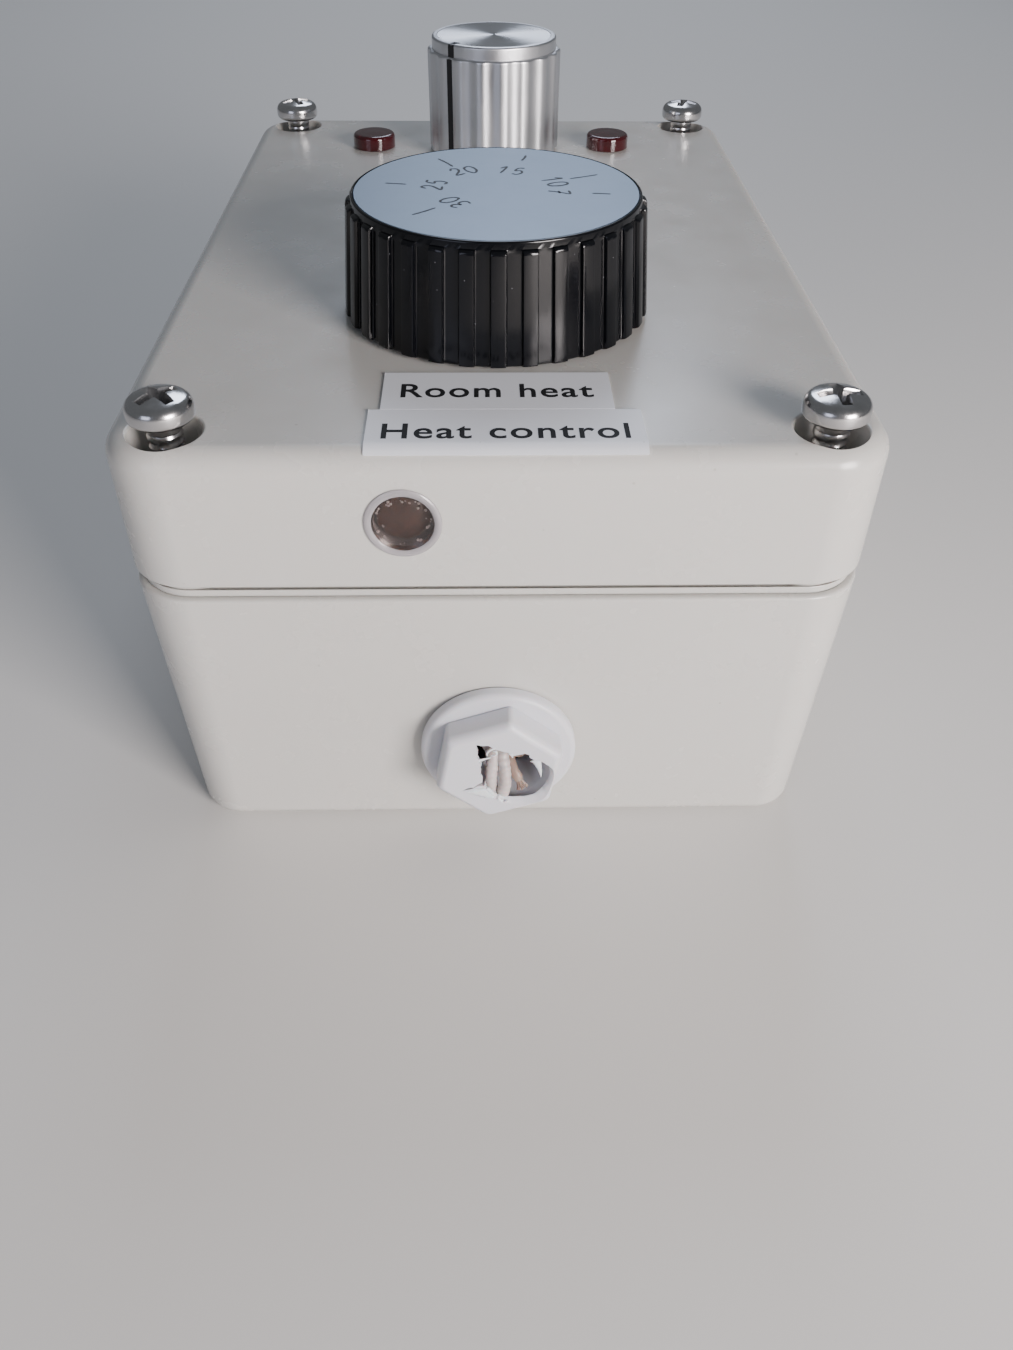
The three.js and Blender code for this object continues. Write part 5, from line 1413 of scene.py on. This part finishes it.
def bandedLook():        # beige lacquered resistor body with colour rings across its length
    material, shader, place = startMaterial("resistorLacquered", "#cfb68e", 0.4)
    waves = addNode(material, "ShaderNodeTexWave", {"Scale": 0.2, "Distortion": 0.3, "bands_direction": "Y"},
                    {"Vector": place})
    rings = addNode(material, "ShaderNodeValToRGB", {}, {0: waves.outputs["Fac"]})
    ramp = rings.color_ramp
    ramp.interpolation = "CONSTANT"
    ramp.elements[0].color = hexColour("#6b3a1c")
    ramp.elements[1].position, ramp.elements[1].color = 0.16, hexColour("#cfb68e")
    for position, colour in ((0.42, "#a4231d"), (0.52, "#cfb68e"), (0.8, "#c79a2b"), (0.88, "#cfb68e")):
        ramp.elements.new(position).color = hexColour(colour)
    connect(material, rings.outputs[0], shader.inputs["Base Color"])
    return material


partLooks = {"roughness": 0.4, "grain": 0.25, "bump": 0.2, "speckSpacing": 3.0, "speckSize": 0.04,
             "speckShare": 0.4, "speckColour": "#8f8f8f"}
laminate = boardLook()
resistorSkin = bandedLook()
relayCase = polymer("polyesterMouldedBlue", dict(partLooks, colour="#2457a6", shade="#1d4a91"))
terminalCase = polymer("polyamideMouldedGreen", dict(partLooks, colour="#2f8a4b", shade="#26773f"))
partBlack = polymer("epoxyMouldedBlack", dict(partLooks, colour="#17181a", shade="#101113"))
insideLooks = {
    "circuit_board": (laminate, 0.15), "relay": (relayCase, 0.35), "trimmer": (relayCase, 0.2),
    "terminal_block": (terminalCase, 0.25), "capacitor_large": (partBlack, 0.3),
    "capacitor_small": (partBlack, 0.2), "comparator_chip": (partBlack, 0.12),
    "voltage_regulator": (partBlack, 0.15), "driver_transistor": (partBlack, 0.12),
    "flyback_diode": (partBlack, 0.15), "rectifier_diode": (partBlack, 0.15), "knob_core": (partBlack, 0.15),
    "lid_gasket": (rubberSeal, 0.1), "led_left": (acrylicRed, 0.1), "led_right": (acrylicRed, 0.1),
    "dial_insert": (machinedBrass, 0.1), "dial_grub_screw": (platedSteel, 0.05),
    "knob_grub_screw": (platedSteel, 0.05), "dial_shaft": (turnedAluminium, 0.15),
    "knob_shaft": (turnedAluminium, 0.15),
}
for k in range(1, 4):
    insideLooks[f"terminal_screw_{k}"] = (platedSteel, 0.1)
for k in range(1, 5):
    insideLooks[f"resistor_{k}"] = (resistorSkin, 0.1)
for name in ("dial", "knob"):
    insideLooks[f"{name}_pot_can"] = (platedSteel, 0.3)
    insideLooks[f"{name}_pot_bush"] = (machinedBrass, 0.1)
    insideLooks[f"{name}_pot_washer"] = (nickelScrew, 0.05)
    insideLooks[f"{name}_pot_nut"] = (nickelScrew, 0.15)
for name, (material, width) in insideLooks.items():
    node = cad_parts[name]
    node.data.materials.clear()
    node.data.materials.append(material)
    edge = node.modifiers.new("edge", "BEVEL")
    edge.width = width * mm
    edge.segments = 2
    edge.limit_method = "ANGLE"
    edge.angle_limit = math.radians(35)
    even = node.modifiers.new("even", "WEIGHTED_NORMAL")
    even.keep_sharp = True
print("inside parts done")


# floor, light and camera

def makeStage():
    floor = newPiece("floor", [(-3000, -3000, -0.05), (3000, -3000, -0.05), (3000, 3000, -0.05),
                               (-3000, 3000, -0.05)], [(0, 1, 2, 3)])
    material, shader, place = startMaterial("paintedMatteFloor", "#dcdad6", 0.6)
    tone = addNode(material, "ShaderNodeTexNoise", {"Scale": 1 / 400}, {"Vector": place})
    tint(material, shader, tone.outputs["Fac"], "#dbd9d5", "#dedcd8")
    floor.data.materials.append(material)


def makeLight(name, where, target, size, power, colour, sizeY=None):        # metres and watts
    light = bpy.data.lights.new(name, "AREA")
    light.shape = "RECTANGLE"
    light.size, light.size_y = size, sizeY or size
    light.energy = power
    light.color = hexColour(colour)[:3]
    lamp = bpy.data.objects.new(name, light)
    bpy.context.scene.collection.objects.link(lamp)
    lamp.location = where
    lamp.rotation_euler = (Vector(target) - Vector(where)).to_track_quat("-Z", "Y").to_euler()


def makeWorld():
    world = bpy.data.worlds.new("studio")
    world.use_nodes = True
    back = world.node_tree.nodes["Background"]
    back.inputs["Color"].default_value = hexColour("#dfe4ea")
    back.inputs["Strength"].default_value = 0.2
    bpy.context.scene.world = world


cameraView = {"pitch": 0.7211, "yaw": -0.0276, "roll": 0.0108, "place": (-1.857, -155.917, 109.527),
              "focal": 1083.743 / 1350 * 36}


def makeCamera():
    view = cameraView
    camera = bpy.data.cameras.new("camera")
    camera.sensor_fit = "AUTO"
    camera.sensor_width = 36
    camera.lens = view["focal"]
    camera.clip_start = 0.01
    eye = bpy.data.objects.new("camera", camera)
    bpy.context.scene.collection.objects.link(eye)
    turn = Matrix.Rotation(view["yaw"], 3, "Z")
    c, s = math.cos(view["pitch"]), math.sin(view["pitch"])
    ahead = turn @ Vector((0, c, -s))
    up = turn @ Vector((0, s, c))
    right = turn @ Vector((1, 0, 0))
    cr, sr = math.cos(view["roll"]), math.sin(view["roll"])
    right, up = right * cr + up * sr, up * cr - right * sr
    placed = Matrix((right, up, -ahead)).transposed().to_4x4()
    placed.translation = Vector(view["place"]) * mm
    eye.matrix_world = placed
    bpy.context.scene.camera = eye


makeStage()
makeWorld()
makeLight("keySoft", (0.3, -0.42, 0.17), (0, -0.03, 0.04), 0.2, 4.6, "#fff7f6")
makeLight("windowStrip", (0.05, 0.7, 0.66), (0, 0, 0.05), 0.32, 2.9, "#e2ecff", 0.45)
makeLight("frontFill", (-0.4, -0.6, 0.25), (0, 0, 0.03), 0.3, 0.6, "#dfe5ff")
makeCamera()
print("stage done")
